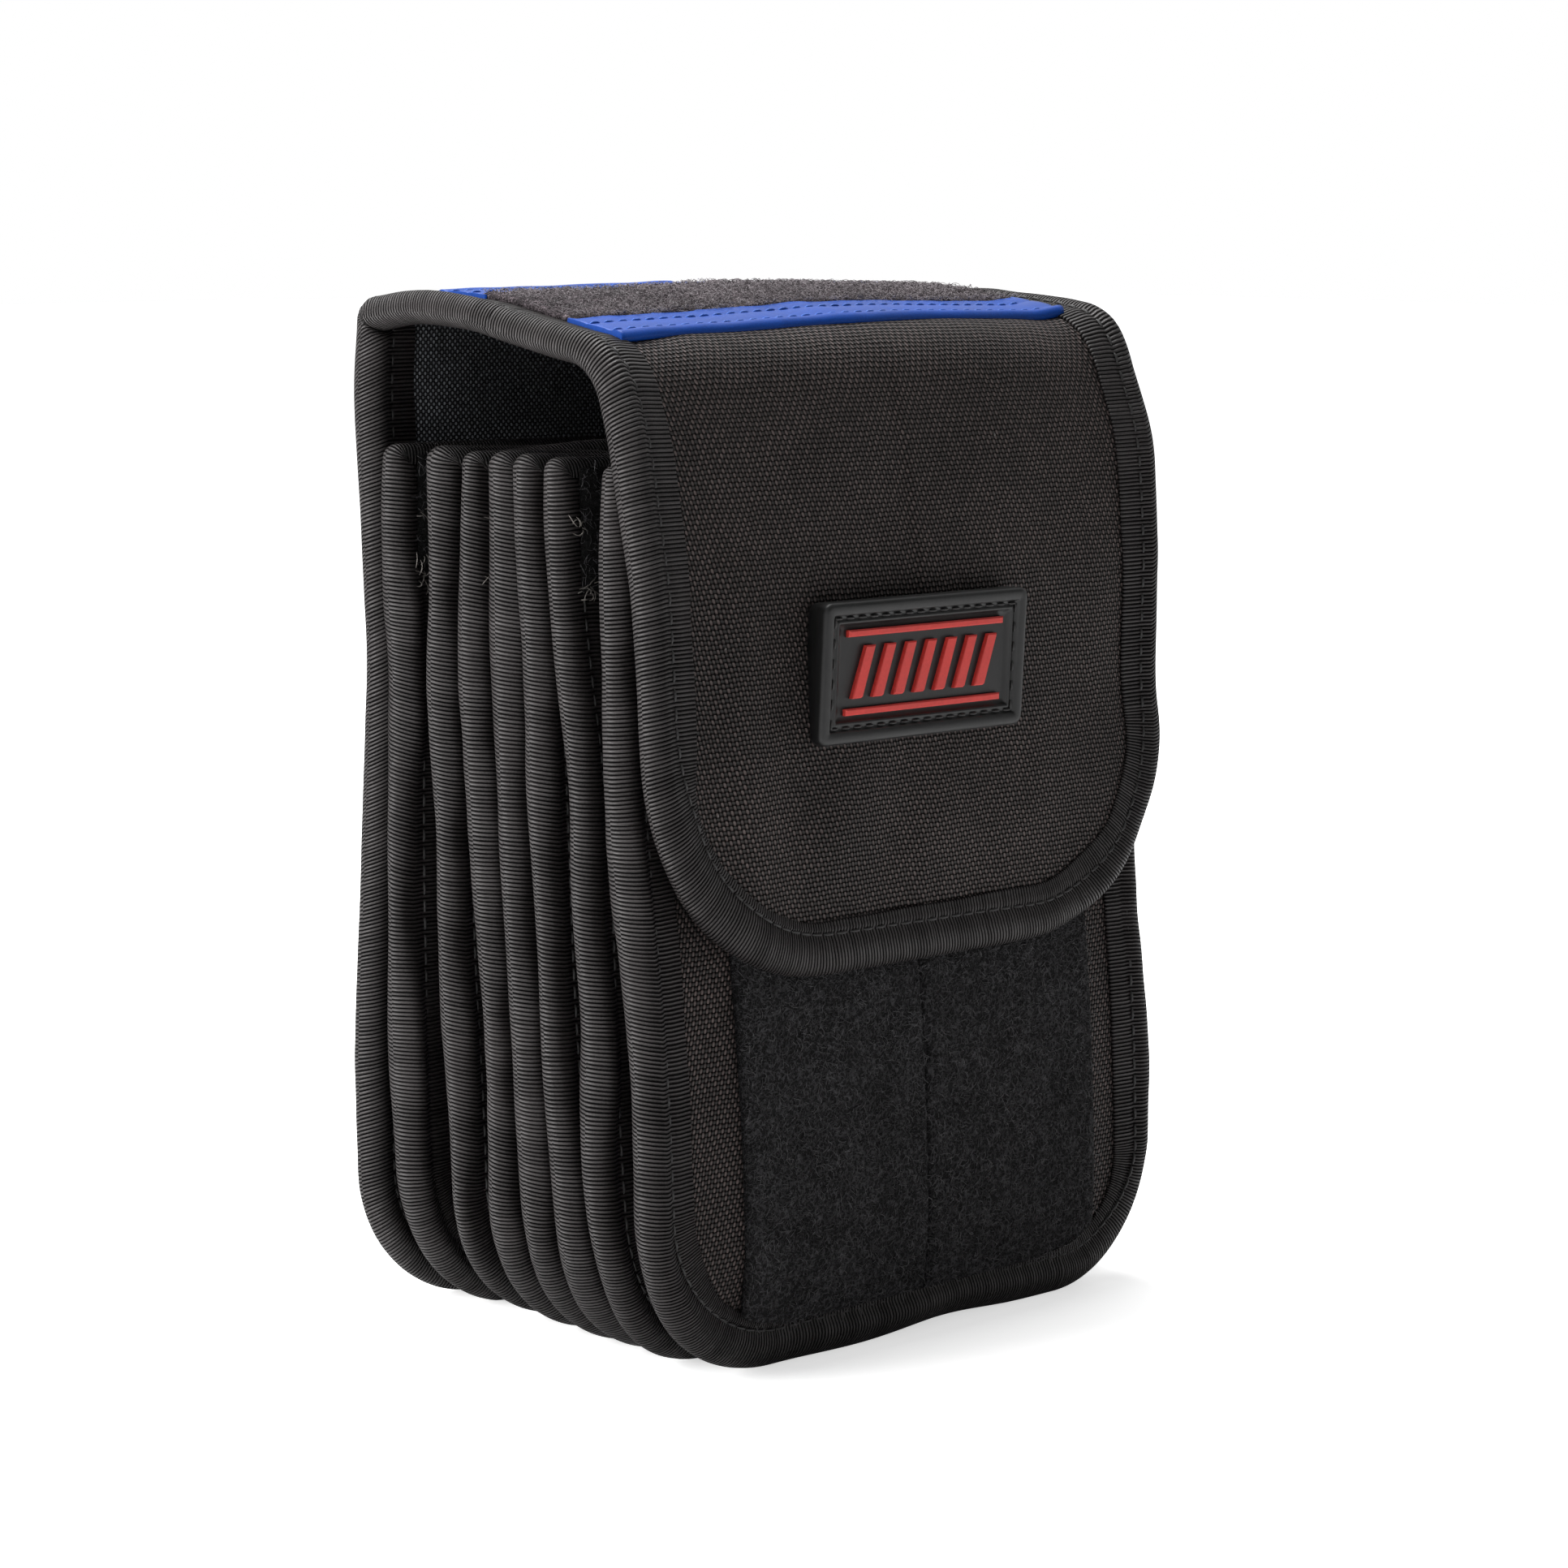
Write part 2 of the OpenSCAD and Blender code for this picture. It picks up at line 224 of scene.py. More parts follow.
def cover_s(y=None, z=None, front=True):
    """Distance along the cover to where the lid crosses y, or the flap or back crosses z."""
    if y is not None:
        top = (COVER_LINE[:, 1] > LID_BACK_Z - 9) & (COVER_LINE[:, 0] < BACK_CORNER[0] - 1)
        return float(np.interp(-y, -COVER_LINE[top, 0], COVER_S[top]))
    half = COVER_S > COVER_L * 0.5 if front else COVER_S < COVER_L * 0.5
    zs, ss = COVER_LINE[half, 1], COVER_S[half]
    return float(np.interp(-z, -zs, ss)) if front else float(np.interp(z, zs, ss))


def fold_centre():
    """The centre of the back top fold's arc, its outward diagonal and its distance along the cover."""
    near = np.argmin(np.hypot(*(COVER_LINE - BACK_CORNER).T))
    return COVER_LINE[near] - BACK_FOLD_R * COVER_OUT[near], COVER_OUT[near], COVER_S[near]


BACK_CORNER = np.array(COVER_BENDS[3][0])
FOLD_CENTRE, FOLD_OUT, FOLD_S = fold_centre()
FOLD_ALONG = np.array([-FOLD_OUT[1], FOLD_OUT[0]])
# Distances along the cover to the lid's back and front, and to where the cover is cut into two pieces
S_LID_BACK, S_LID_FRONT = cover_s(y=30), cover_s(y=-19)
S_SPLIT = cover_s(y=6)


def cover(x, s, n):
    """The mapper of the cover. Its face, +n, is outward. The lid is crowned and the flap's sides twist."""
    x, s, n = np.broadcast_arrays(np.asarray(x, float), s, n)
    left, right = np.clip(-x / SIDE_X, 0, 1), np.clip(x / SIDE_X, 0, 1)
    on_lid = ease((s - S_LID_BACK + 14) / 20) * ease((S_LID_FRONT + 16 - s) / 26)
    on_flap = ease((s - S_LID_FRONT) / 40)
    down = ease((s - S_LID_FRONT - 15) / 60)
    low = ease((s - S_LID_FRONT - 62) / 22)
    # the lid's edge is pressed thin, and the back top corner is dented
    thin = ease((s - FOLD_S + 3) / 9) * ease((S_LID_FRONT + 22 - s) / 24)
    n = np.where(n < 0, n * (1 - 0.36 * thin), n)
    dent = 2.2 * left**2 * np.exp(-(((s - FOLD_S) / 10) ** 2))
    # the lid is crowned, raised at its right front and lower along its left edge
    lift = on_lid * (0.9 * (1 - (x / 60) ** 2) + 0.4 * waves(x, 5, 80))
    right_front = ease((x - 48) / 16) * ease((s - S_LID_BACK - 14) / 26) * ease((S_LID_FRONT + 9 - s) / 10)
    lift = lift + 2.0 * right_front
    lift = lift - 1.2 * left * on_lid * ease((s - S_LID_BACK) / 30)
    # the flap's left edge stands out; its right edge lies in, at the bend too, but less at its low corner
    bend = ease((s - S_LID_FRONT + 6) / 10) * ease((S_LID_FRONT + 26 - s) / 20)
    twist = on_flap * ((1.0 + 0.9 * down) * left**1.5 - (0.8 + 3.0 * down) * right**2)
    twist = twist - 1.8 * bend * right**2 + 2.2 * low * right**2
    # soft upright creases in the lower half of the flap
    lift = lift + 0.42 * ease((s - S_LID_FRONT - 25) / 40) * waves(x, 71, 17)
    n = n + lift - dent + twist + 0.2 * waves(s, 6, 90) * np.sign(x)
    y, z = (at + n * way for at, way in zip(at_s(COVER_LINE, s), at_s(COVER_OUT, s)))
    return np.stack([x, *creased(y, z, s)], -1)


def creased(y, z, s):
    """Stops the inside of the sharp back top fold at its diagonal, where the two sides meet."""
    across = (y - FOLD_CENTRE[0]) * FOLD_ALONG[0] + (z - FOLD_CENTRE[1]) * FOLD_ALONG[1]
    wrong = (across * np.sign(s - FOLD_S) < 0) & (np.abs(s - FOLD_S) < 14)
    push = np.where(wrong, across, 0)
    return y - push * FOLD_ALONG[0], z - push * FOLD_ALONG[1]


# ---------------------------------------------------------------- meshes


def add_object(name, data):
    """A new object in the scene."""
    made = bpy.data.objects.new(name, data)
    bpy.context.scene.collection.objects.link(made)
    return made


def new_piece(name, points, faces, uv, materials, material_index=None, flat_from=None):
    """A mesh from points and UVs in mm and arrays of faces, each of one size.

    The faces from number flat_from on are shaded flat.
    """
    mesh = bpy.data.meshes.new(name)
    corners = np.concatenate([f.reshape(-1) for f in faces])
    sizes = np.concatenate([np.full(len(f), f.shape[1]) for f in faces])
    mesh.vertices.add(len(points))
    mesh.vertices.foreach_set("co", (np.asarray(points) * MM).astype(np.float32).ravel())
    mesh.loops.add(len(corners))
    mesh.loops.foreach_set("vertex_index", corners.astype(np.int32))
    mesh.polygons.add(len(sizes))
    mesh.polygons.foreach_set("loop_start", np.r_[0, np.cumsum(sizes)[:-1]].astype(np.int32))
    mesh.polygons.foreach_set("use_smooth", np.ones(len(sizes), bool))
    if material_index is not None:
        mesh.polygons.foreach_set("material_index", np.asarray(material_index, np.int32))
    layer = mesh.uv_layers.new(name="flat")
    layer.data.foreach_set("uv", (np.asarray(uv) * MM).astype(np.float32).ravel())
    for material in materials:
        mesh.materials.append(material)
    if flat_from is not None:
        mesh.polygons.foreach_set("use_smooth", np.arange(len(sizes)) < flat_from)
    mesh.update(calc_edges=True)
    mesh.validate()
    return add_object(name, mesh)


def grid_faces(rows, columns, wrap_rows=False, wrap_columns=False):
    """Quads of a grid of points numbered row by row, and each corner's row and column before wrapping."""
    row_count, column_count = rows - 1 + wrap_rows, columns - 1 + wrap_columns
    r, c = np.meshgrid(np.arange(row_count), np.arange(column_count), indexing="ij")
    r, c = r.ravel(), c.ravel()
    corner_r, corner_c = np.stack([r, r, r + 1, r + 1], -1), np.stack([c, c + 1, c + 1, c], -1)
    return (corner_r % rows) * columns + corner_c % columns, corner_r, corner_c


def loft(name, rings, along, around, materials, closed=False, skew=0.0):
    """A closed tube through rings of points; along and around are its UV distances.

    They are one longer where it wraps. skew drags the flat layout along the tube, round a tape's roll.
    """
    rows, columns = rings.shape[:2]
    quads, r, c = grid_faces(rows, columns, wrap_rows=closed, wrap_columns=True)
    drag = skew * (np.minimum(around, SEAM_IN) - np.minimum(around[-1] - around, SEAM_IN))
    uv = np.stack([along[r] + drag[c], around[c]], -1).reshape(-1, 2)
    faces = [quads]
    if not closed:
        caps = np.stack([np.arange(columns)[::-1], (rows - 1) * columns + np.arange(columns)])
        faces.append(caps)
        uv = np.concatenate([uv, np.stack([np.tile(around[:-1], 2), np.zeros(2 * columns)], -1)])
    return new_piece(name, rings.reshape(-1, 3), faces, uv, materials, flat_from=len(quads))


def block_faces(rows, columns):
    """Faces of a closed block between two grids of points, as its front, its back and its rim."""
    front = grid_faces(rows, columns)[0]
    count = rows * columns
    rim = np.r_[
        np.arange(columns), np.arange(1, rows) * columns + columns - 1,
        (rows - 1) * columns + np.arange(columns - 2, -1, -1), np.arange(rows - 2, 0, -1) * columns,
    ]
    ahead = np.roll(rim, -1)
    return front, front[:, ::-1] + count, np.stack([ahead, rim, rim + count, ahead + count], -1)


def slab(name, place, half_width, s_values, columns, face, back, materials):
    """A closed pad: face(x, s) and back(x, s) are its two surfaces' n, and half_width(s) its outline."""
    t = np.linspace(-1, 1, columns)
    x, s = half_width(s_values)[:, None] * t, np.repeat(s_values[:, None], columns, 1)
    points = np.concatenate([place(x, s, n(x, s)).reshape(-1, 3) for n in (face, back)])
    front, rear, wall = block_faces(len(s_values), columns)
    flat = np.tile(np.stack([x.ravel(), s.ravel()], -1), (2, 1))
    quads = np.concatenate([front, rear, wall])
    index = np.r_[np.zeros(len(front)), np.ones(len(rear)), np.zeros(len(wall))]
    return new_piece(name, points, [quads], flat[quads].reshape(-1, 2), materials, index, len(front) * 2)


def recalculated(obj):
    """Turns a closed piece's faces outward."""
    mesh = bmesh.new()
    mesh.from_mesh(obj.data)
    bmesh.ops.recalc_face_normals(mesh, faces=mesh.faces)
    mesh.to_mesh(obj.data)
    mesh.free()
    return obj


# ---------------------------------------------------------------- bound edges


class Outline:
    """The edge of a flat panel: stations round a rectangle with rounded corners, from s = 0 to length."""

    def __init__(self, width, length, r_low, r_high, step, r_left=None):
        w, spots = width / 2, []
        radii = (r_low, r_high, r_high, r_left or r_low)
        corners = ((1, -1, -90), (1, 1, 0), (-1, 1, 90), (-1, -1, 180))
        for (sx, ss, turn), r in zip(corners, radii):
            centre = np.array([sx * (w - r), r if ss < 0 else length - r])
            count = max(5, int(r * math.pi / 2 / step))
            for a in np.radians(turn + np.linspace(0, 90, count)):
                out = np.array([math.cos(a), math.sin(a)])
                spots.append((centre + r * out, -out, centre, (sx, ss), r))
        rows = []
        for here, ahead in zip(spots, spots[1:] + spots[:1]):
            rows.append(here)
            gap = np.linalg.norm(ahead[0] - here[0])
            if gap > 2 * step and np.allclose(here[1], ahead[1], atol=1e-6):
                for t in np.linspace(0, 1, int(gap / step) + 1)[1:-1]:
                    point = here[0] * (1 - t) + ahead[0] * t
                    rows.append((point, here[1], point, (0, 0), 1e9))
        self.point, self.inward, self.centre, self.diagonal, self.radius = (
            np.array(column, float) for column in zip(*rows)
        )
        steps = np.linalg.norm(np.roll(self.point, -1, 0) - self.point, axis=1)
        self.along = np.r_[0, np.cumsum(steps)]

    def inset(self, u):
        """Points u inside the edge; past a small corner's centre they follow the mitre."""
        u = np.broadcast_to(u, self.radius.shape)[:, None]
        past = u - self.radius[:, None]
        return np.where(past <= 0, self.point + u * self.inward, self.centre - past * self.diagonal)


# Half the thickness of a bound edge, against the distance in from the outer edge: a padded roll,
# pulled in at the seam, then a flat margin. INNER is the tape's inside, from its edge to under the roll
ROLL_U = [0.1, 0.35, 0.8, 1.4, 2.1, 2.9, 3.7, 4.4, 5.0]
ROLL_N = [0.75, 1.4, 2.1, 2.75, 3.2, 3.5, 3.5, 3.25, 2.85]
MARGIN_U = [SEAM_IN, 6.0, 6.7, 7.6, 8.6, 9.6, 10.4, 10.85, TAPE_W]
MARGIN_N = [2.55, 2.6, 2.72, 2.72, 2.6, 2.45, 2.4, 2.3, 2.05]
PROFILE_U, PROFILE_N = np.array(ROLL_U + MARGIN_U), np.array(ROLL_N + MARGIN_N)
INNER_U, INNER_N = np.array([TAPE_W - 0.2, 8.0, 5.0, 3.0]), np.array([1.65, 1.5, 1.3, 0.9])
PROFILE_LOOP_U = np.r_[0, PROFILE_U, INNER_U, INNER_U[::-1], PROFILE_U[::-1], 0]
PROFILE_LOOP_N = np.r_[0, PROFILE_N, INNER_N, -INNER_N[::-1], -PROFILE_N[::-1], 0]
PROFILE_AROUND = np.r_[0, np.cumsum(np.hypot(np.diff(PROFILE_LOOP_U), np.diff(PROFILE_LOOP_N)))]


def tape_rings(edge, place, seed, puff=1.0, sway=0.35, share=None):
    """Rings of points of a folded tape round an outline, in the order: tip, face, inside, back.

    share is how wide the roll is at each station against its usual width; the margin makes up for it.
    """
    along = edge.along[:-1]
    total = edge.along[-1]
    turn = along / total * 2 * np.pi
    # wandering that closes on itself
    loop_x, loop_y = np.cos(turn) * total / 6.3, np.sin(turn) * total / 6.3
    swell = 0.10 * ripples(loop_x, loop_y, seed, 60) + 0.035 * ripples(loop_x, loop_y, seed + 1, 14)
    shift = sway * ripples(loop_x, loop_y, seed + 2, 45)
    pucker = 0.07 * np.cos(2 * np.pi * along / STITCH_PITCH)
    hem = 0.22 * ripples(loop_x, loop_y, seed + 3, 16)
    share = np.ones(len(along)) if share is None else share
    columns = []

    def column(u, n, side):
        roll = np.clip(1.2 - abs(u - 3.2) / 4, 0, 1)
        half = n * (1 + puff * swell * roll) + pucker * np.clip(1 - abs(u - SEAM_IN) / 2.2, 0, 1)
        inner = np.clip((u - 7) / 4, 0, 1)
        flat = edge.inset(folded(u, share) + (1 - inner) * shift * 0.6 + inner * hem)
        columns.append(place(flat[:, 0], flat[:, 1], side * half))

    column(0, 0, 1)
    half_u, half_n = np.r_[PROFILE_U, INNER_U], np.r_[PROFILE_N, INNER_N]
    for u, n in zip(half_u, half_n):
        column(u, n, 1)
    for u, n in zip(half_u[::-1], half_n[::-1]):
        column(u, n, -1)
    return np.stack(columns, 1)


def folded(u, share):
    """Where a point of the tape's profile lies when the roll takes more, or less, than its usual width."""
    seam_at = SEAM_IN * share
    margin = np.clip(TAPE_W - 0.7 * (seam_at - SEAM_IN) - seam_at, 1.3, None) / (TAPE_W - SEAM_IN)
    return np.minimum(u, SEAM_IN) * share + max(u - SEAM_IN, 0) * margin


def spokes(side, up, angle):
    """Unit vectors round a thread, at the angles, from its side and up vectors."""
    return side[:, :, None] * np.cos(angle)[:, None] + up[:, :, None] * np.sin(angle)[:, None]


def stitch_run(place, flat, ahead, n, above):
    """A run of stitches on the surface at n: their middles, and their ways ahead and up."""
    middle = place(*flat.T, n)
    return middle, place(*ahead.T, n) - middle, place(*flat.T, above) - middle


def threads(name, runs, material, length=STITCH_L, radius=STITCH_R):
    """Short stitches: rounded threads at the runs' middles, along their ways, bowed towards their ups."""
    middles, ways, ups = (np.concatenate(part) for part in zip(*runs))
    t = np.array([-0.5, -0.42, -0.2, 0.2, 0.42, 0.5])
    swell = np.array([0.25, 0.8, 1.0, 1.0, 0.8, 0.25]) * radius
    ways = ways / np.linalg.norm(ways, axis=1)[:, None]
    sides = np.cross(ways, ups)
    sides /= np.linalg.norm(sides, axis=1)[:, None]
    ups = np.cross(sides, ways)
    angle = np.arange(6) * np.pi / 3
    bow = radius * (1 - (2 * t) ** 2) - 0.6 * radius
    line = middles[:, None] + ways[:, None] * (t * length)[None, :, None] + ups[:, None] * bow[None, :, None]
    spoke = spokes(sides[:, None], ups[:, None], angle)
    points = line[:, :, None] + spoke * swell[None, :, None, None]
    quads, r, c = grid_faces(6, 6, wrap_columns=True)
    ends = np.stack([np.arange(6)[::-1], 30 + np.arange(6)])
    start = (np.arange(len(middles)) * 36)[:, None, None]
    faces = [(quads[None] + start).reshape(-1, 4), (ends[None] + start).reshape(-1, 6)]
    uv = np.zeros((sum(f.size for f in faces), 2))
    uv[: faces[0].size] = np.tile(np.stack([t[r] * length, c * 0.1], -1).reshape(-1, 2), (len(middles), 1))
    return new_piece(name, points.reshape(-1, 3), faces, uv, [material])


def seam(name, edge, place, keep=None, share=1.0):
    """Stitches along an outline's seam, on both faces of the tape."""
    count = int(edge.along[-1] / STITCH_PITCH)
    at = (np.arange(count) + 0.5) * edge.along[-1] / count
    ring = edge.inset(SEAM_IN * share)
    ring = np.vstack([ring, ring[:1]])
    flat = np.stack([np.interp(at - 0.4, edge.along, ring[:, i]) for i in (0, 1)], -1)
    ahead = np.stack([np.interp(at + 0.4, edge.along, ring[:, i]) for i in (0, 1)], -1)
    moving = np.linalg.norm(ahead - flat, axis=1) > 0.3
    flat, ahead = flat[moving], ahead[moving]
    if keep is not None:
        chosen = keep(flat[:, 0], flat[:, 1])
        flat, ahead = flat[chosen], ahead[chosen]
    runs = [stitch_run(place, flat, ahead, side * SEAM_N, side * (SEAM_N + 1)) for side in (1, -1)]
    return threads(name, runs, THREAD)


# ---------------------------------------------------------------- materials


class Nodes:
    """A node tree with shorthands for the nodes that are used here."""

    def __init__(self, tree):
        self.tree = tree

    def link(self, value, socket):
        """Drives a socket by another, or sets it to a constant."""
        if isinstance(value, bpy.types.NodeSocket):
            self.tree.links.new(value, socket)
        else:
            socket.default_value = value

    def node(self, kind, **settings):
        made = self.tree.nodes.new(kind)
        for key, value in settings.items():
            setattr(made, key, value)
        return made

    def math(self, operation, a, b=0.0, c=0.0):
        made = self.node("ShaderNodeMath", operation=operation)
        for socket, value in zip(made.inputs, (a, b, c)):
            self.link(value, socket)
        return made.outputs[0]

    def times(self, a, b):
        return self.math("MULTIPLY", a, b)

    def plus(self, a, b):
        return self.math("ADD", a, b)

    def minus(self, a, b):
        return self.math("SUBTRACT", a, b)

    def fma(self, a, b, c):
        """a times b, plus c."""
        return self.math("MULTIPLY_ADD", a, b, c)

    def flat(self, scale_u, scale_v):
        """The flat layout's two distances, in metres, times the scales."""
        uv = self.node("ShaderNodeUVMap", uv_map="flat")
        split = self.node("ShaderNodeSeparateXYZ")
        self.tree.links.new(uv.outputs[0], split.inputs[0])
        return self.times(split.outputs[0], scale_u), self.times(split.outputs[1], scale_v)

    def noise(self, vector, scale, detail=2.0, roughness=0.5):
        made = self.node("ShaderNodeTexNoise")
        self.tree.links.new(vector, made.inputs["Vector"])
        made.inputs["Scale"].default_value = scale
        made.inputs["Detail"].default_value = detail
        made.inputs["Roughness"].default_value = roughness
        return made.outputs["Fac"]

    def wander(self, vector, scale, reach):
        """A slow drift of up to about half the reach to either side."""
        return self.times(self.minus(self.noise(vector, scale, 1.0), 0.5), reach)

    def place(self):
        """Where a point is on the piece, in metres."""
        return self.node("ShaderNodeTexCoord").outputs["Object"]

    def join(self, x, y):
        made = self.node("ShaderNodeCombineXYZ")
        for socket, value in zip(made.inputs, (x, y)):
            self.link(value, socket)
        return made.outputs[0]

    def ramp(self, value, stops):
        """A colour from a value, between two (position, (r, g, b)) stops."""
        made = self.node("ShaderNodeValToRGB")
        self.link(value, made.inputs[0])
        elements = made.color_ramp.elements
        for element, (position, colour) in zip(elements, stops):
            element.position = position
            element.color = (*colour, 1)
        return made.outputs[0]

    def span(self, value, low, high, to_low, to_high):
        """A value's range, low to high, mapped to another and clamped."""
        made = self.node("ShaderNodeMapRange")
        for socket, number in zip(made.inputs, (value, low, high, to_low, to_high)):
            self.link(number, socket)
        return made.outputs[0]

    def mix(self, share, a, b):
        """A colour that goes from a to b as the share goes from 0 to 1."""
        made = self.node("ShaderNodeMix", data_type="RGBA")
        self.link(share, made.inputs[0])
        for socket, value in ((made.inputs[6], a), (made.inputs[7], b)):
            self.link((*value, 1) if isinstance(value, tuple) and len(value) == 3 else value, socket)
        return made.outputs[2]


class Shader(Nodes):
    """A Principled material, with what drives its colour, roughness, shine and bump."""

    def __init__(self, name, **values):
        self.material = bpy.data.materials.new(name)
        self.material.use_nodes = True
        super().__init__(self.material.node_tree)
        self.surface = self.tree.nodes["Principled BSDF"]
        for socket, value in values.items():
            self.surface.inputs[socket.replace("_", " ")].default_value = value

    def colour(self, value):
        self.link(value, self.surface.inputs["Base Color"])

    def rough(self, value):
        self.link(value, self.surface.inputs["Roughness"])

    def shine(self, value):
        self.link(value, self.surface.inputs["Specular IOR Level"])

    def bump(self, height, distance):
        made = self.node("ShaderNodeBump")
        made.inputs["Distance"].default_value = distance
        made.inputs["Strength"].default_value = 1.0
        self.link(height, made.inputs["Height"])
        self.tree.links.new(made.outputs[0], self.surface.inputs["Normal"])


def woven(name, pitch, shear, dark, shaded_weft, lit_warp, bump, lint=0.0, worn=0.25):
    """A plain weave: warp crowns and weft crowns in turn, each yarn a little different.

    Light and shade are painted into its colour: the warp crowns are painted bright as a highlight, the weft
    crowns are painted duller as shade, and the gaps between the yarns are painted dark as shade.
    """
    m = Shader(name, Roughness=0.7)
    place = m.place()
    x, s = m.flat(1 / MM, 1 / MM)
    u = m.math("DIVIDE", m.fma(s, -shear, x), pitch[0])
    u = m.plus(u, m.wander(place, 140, 0.8))
    v = m.plus(m.math("DIVIDE", s, pitch[1]), m.wander(place, 170, 0.8))
    column, row = m.math("FLOOR", u), m.math("FLOOR", v)
    turn = m.math("PINGPONG", m.plus(column, row), 1.0)
    du = m.minus(m.minus(u, column), 0.5)
    dv = m.minus(m.minus(v, row), 0.5)

    def crown(across, along):
        """A domed oval that fills its cell, longer along its yarn."""
        a, b = m.math("DIVIDE", across, 0.46), m.math("DIVIDE", along, 0.62)
        left = m.minus(1.0, m.plus(m.times(a, a), m.times(b, b)))
        return m.math("SQRT", m.math("MAXIMUM", left, 0.0))

    over, under = crown(du, dv), crown(dv, du)
    yarn = m.node("ShaderNodeTexWhiteNoise", noise_dimensions="2D")
    m.link(m.join(column, row), yarn.inputs["Vector"])
    fibre = m.noise(place, 4200, 3.0, 0.7)
    lively = m.fma(yarn.outputs[0], 0.7, 0.6)
    lively = m.times(lively, m.fma(fibre, 1.0, 0.5))
    # Painted light and shade: each crown runs from the dark colour, painted shade in the gaps, to its crown
    # colour, which on the warp is a painted highlight
    warp_shade = m.mix(m.times(over, lively), dark, lit_warp)
    weft_shade = m.mix(m.times(under, lively), dark, shaded_weft)
    base = m.mix(turn, weft_shade, warp_shade)
    patch = m.span(m.noise(place, 38, 3.0, 0.6), 0.35, 0.75, 1 - worn, 1 + worn)
    tint = m.node("ShaderNodeVectorMath", operation="SCALE")
    m.tree.links.new(base, tint.inputs[0])
    m.link(patch, tint.inputs["Scale"])
    base = tint.outputs[0]
    if lint:
        specks = m.node("ShaderNodeTexVoronoi", feature="F1")
        m.tree.links.new(place, specks.inputs["Vector"])
        specks.inputs["Scale"].default_value = 210
        speck = m.math("LESS_THAN", specks.outputs["Distance"], 0.05)
        rare = m.math("GREATER_THAN", m.noise(place, 90, 1.0), 0.6)
        base = m.mix(m.times(m.times(speck, rare), lint), base, (0.2, 0.19, 0.185))
    m.colour(base)
    hidden = m.minus(1.0, turn)
    height = m.plus(m.times(over, turn), m.times(under, hidden))
    m.rough(m.span(height, 0.0, 1.0, 0.9, 0.5))
    m.shine(m.span(height, 0.35, 1.0, 0.03, 0.5))
    m.bump(m.fma(fibre, 0.25, height), bump * MM)
    return m.material


def ribbed(name, pitch, dark, light):
    """Grosgrain: ribs that run across the tape, dragged askew round its padded roll.

    Light and shade are painted into its colour: the grooves between the ribs dark as shade, the crests light
    as a highlight.
    """
    m = Shader(name, Roughness=0.55)
    place = m.place()
    u, v = m.flat(1 / (pitch * MM), 1 / MM)
    round_face = m.math("MINIMUM", v, SEAM_IN)
    round_back = m.math("MINIMUM", m.minus(float(PROFILE_AROUND[-1]), v), SEAM_IN)
    slant = m.span(m.noise(place, 22, 1.0), 0.3, 0.7, -0.75, 0.25)
    askew = m.times(slant, m.minus(round_face, round_back))
    count = m.plus(u, m.plus(m.wander(place, 60, 0.7), m.times(askew, 0.5)))
    rib = m.math("POWER", m.math("ABSOLUTE", m.math("SINE", m.times(count, math.pi))), 0.8)
    number = m.node("ShaderNodeTexWhiteNoise", noise_dimensions="1D")
    m.link(m.math("FLOOR", count), number.inputs["W"])
    fibre = m.noise(place, 3600, 3.0, 0.7)
    tone = m.times(rib, m.fma(number.outputs[0], 0.2, 0.8))
    tone = m.times(tone, m.fma(fibre, 0.7, 0.65))
    # Painted light and shade: the grooves take the dark colour as painted shade, the crests the light one as
    # a painted highlight
    base = m.ramp(tone, [(0.42, dark), (0.9, light)])
    worn = m.noise(place, 55, 3.0, 0.6)
    base = m.mix(m.span(worn, 0.5, 0.75, 0.0, 0.2), base, tuple(min(1, c * 1.7) for c in light))
    m.colour(base)
    m.rough(m.span(tone, 0.0, 1.0, 0.85, 0.42))
    m.shine(m.span(tone, 0.3, 0.95, 0.03, 0.45))
    m.bump(m.fma(fibre, 0.1, rib), 0.34 * MM)
    return m.material


def fuzzy(name, dark, light, tuft=900):
    """The felted ground of loop pile: fine curling threads, which are the ridge lines of stretched noise."""
    m = Shader(name, Roughness=0.9, Specular_IOR_Level=0.15)
    place = m.place()
    swirl = m.node("ShaderNodeTexNoise")
    m.tree.links.new(place, swirl.inputs["Vector"])
    swirl.inputs["Scale"].default_value = tuft * 0.5
    bent = m.node("ShaderNodeVectorMath", operation="MULTIPLY_ADD")
    m.tree.links.new(swirl.outputs["Color"], bent.inputs[0])
    bent.inputs[1].default_value = (1.5 * MM,) * 3
    m.tree.links.new(place, bent.inputs[2])

    def lines(scale, width):
        wave = m.noise(bent.outputs[0], scale, 1.0)
        off = m.math("ABSOLUTE", m.minus(wave, 0.5))
        return m.span(off, 0.0, width, 1.0, 0.0)

    curl = m.math("MAXIMUM", lines(tuft, 0.07), lines(tuft * 1.7, 0.08))
    fine = m.noise(place, tuft * 4, 2.0, 0.7)
    clump = m.noise(place, 150, 3.0, 0.6)
    tone = m.times(m.fma(curl, 0.8, 0.2), m.fma(fine, 0.9, 0.5))
    tone = m.times(tone, m.fma(clump, 1.1, 0.4))
    m.colour(m.ramp(tone, [(0.1, dark), (0.85, light)]))
    m.bump(m.fma(fine, 0.4, curl), 0.5 * MM)
    return m.material


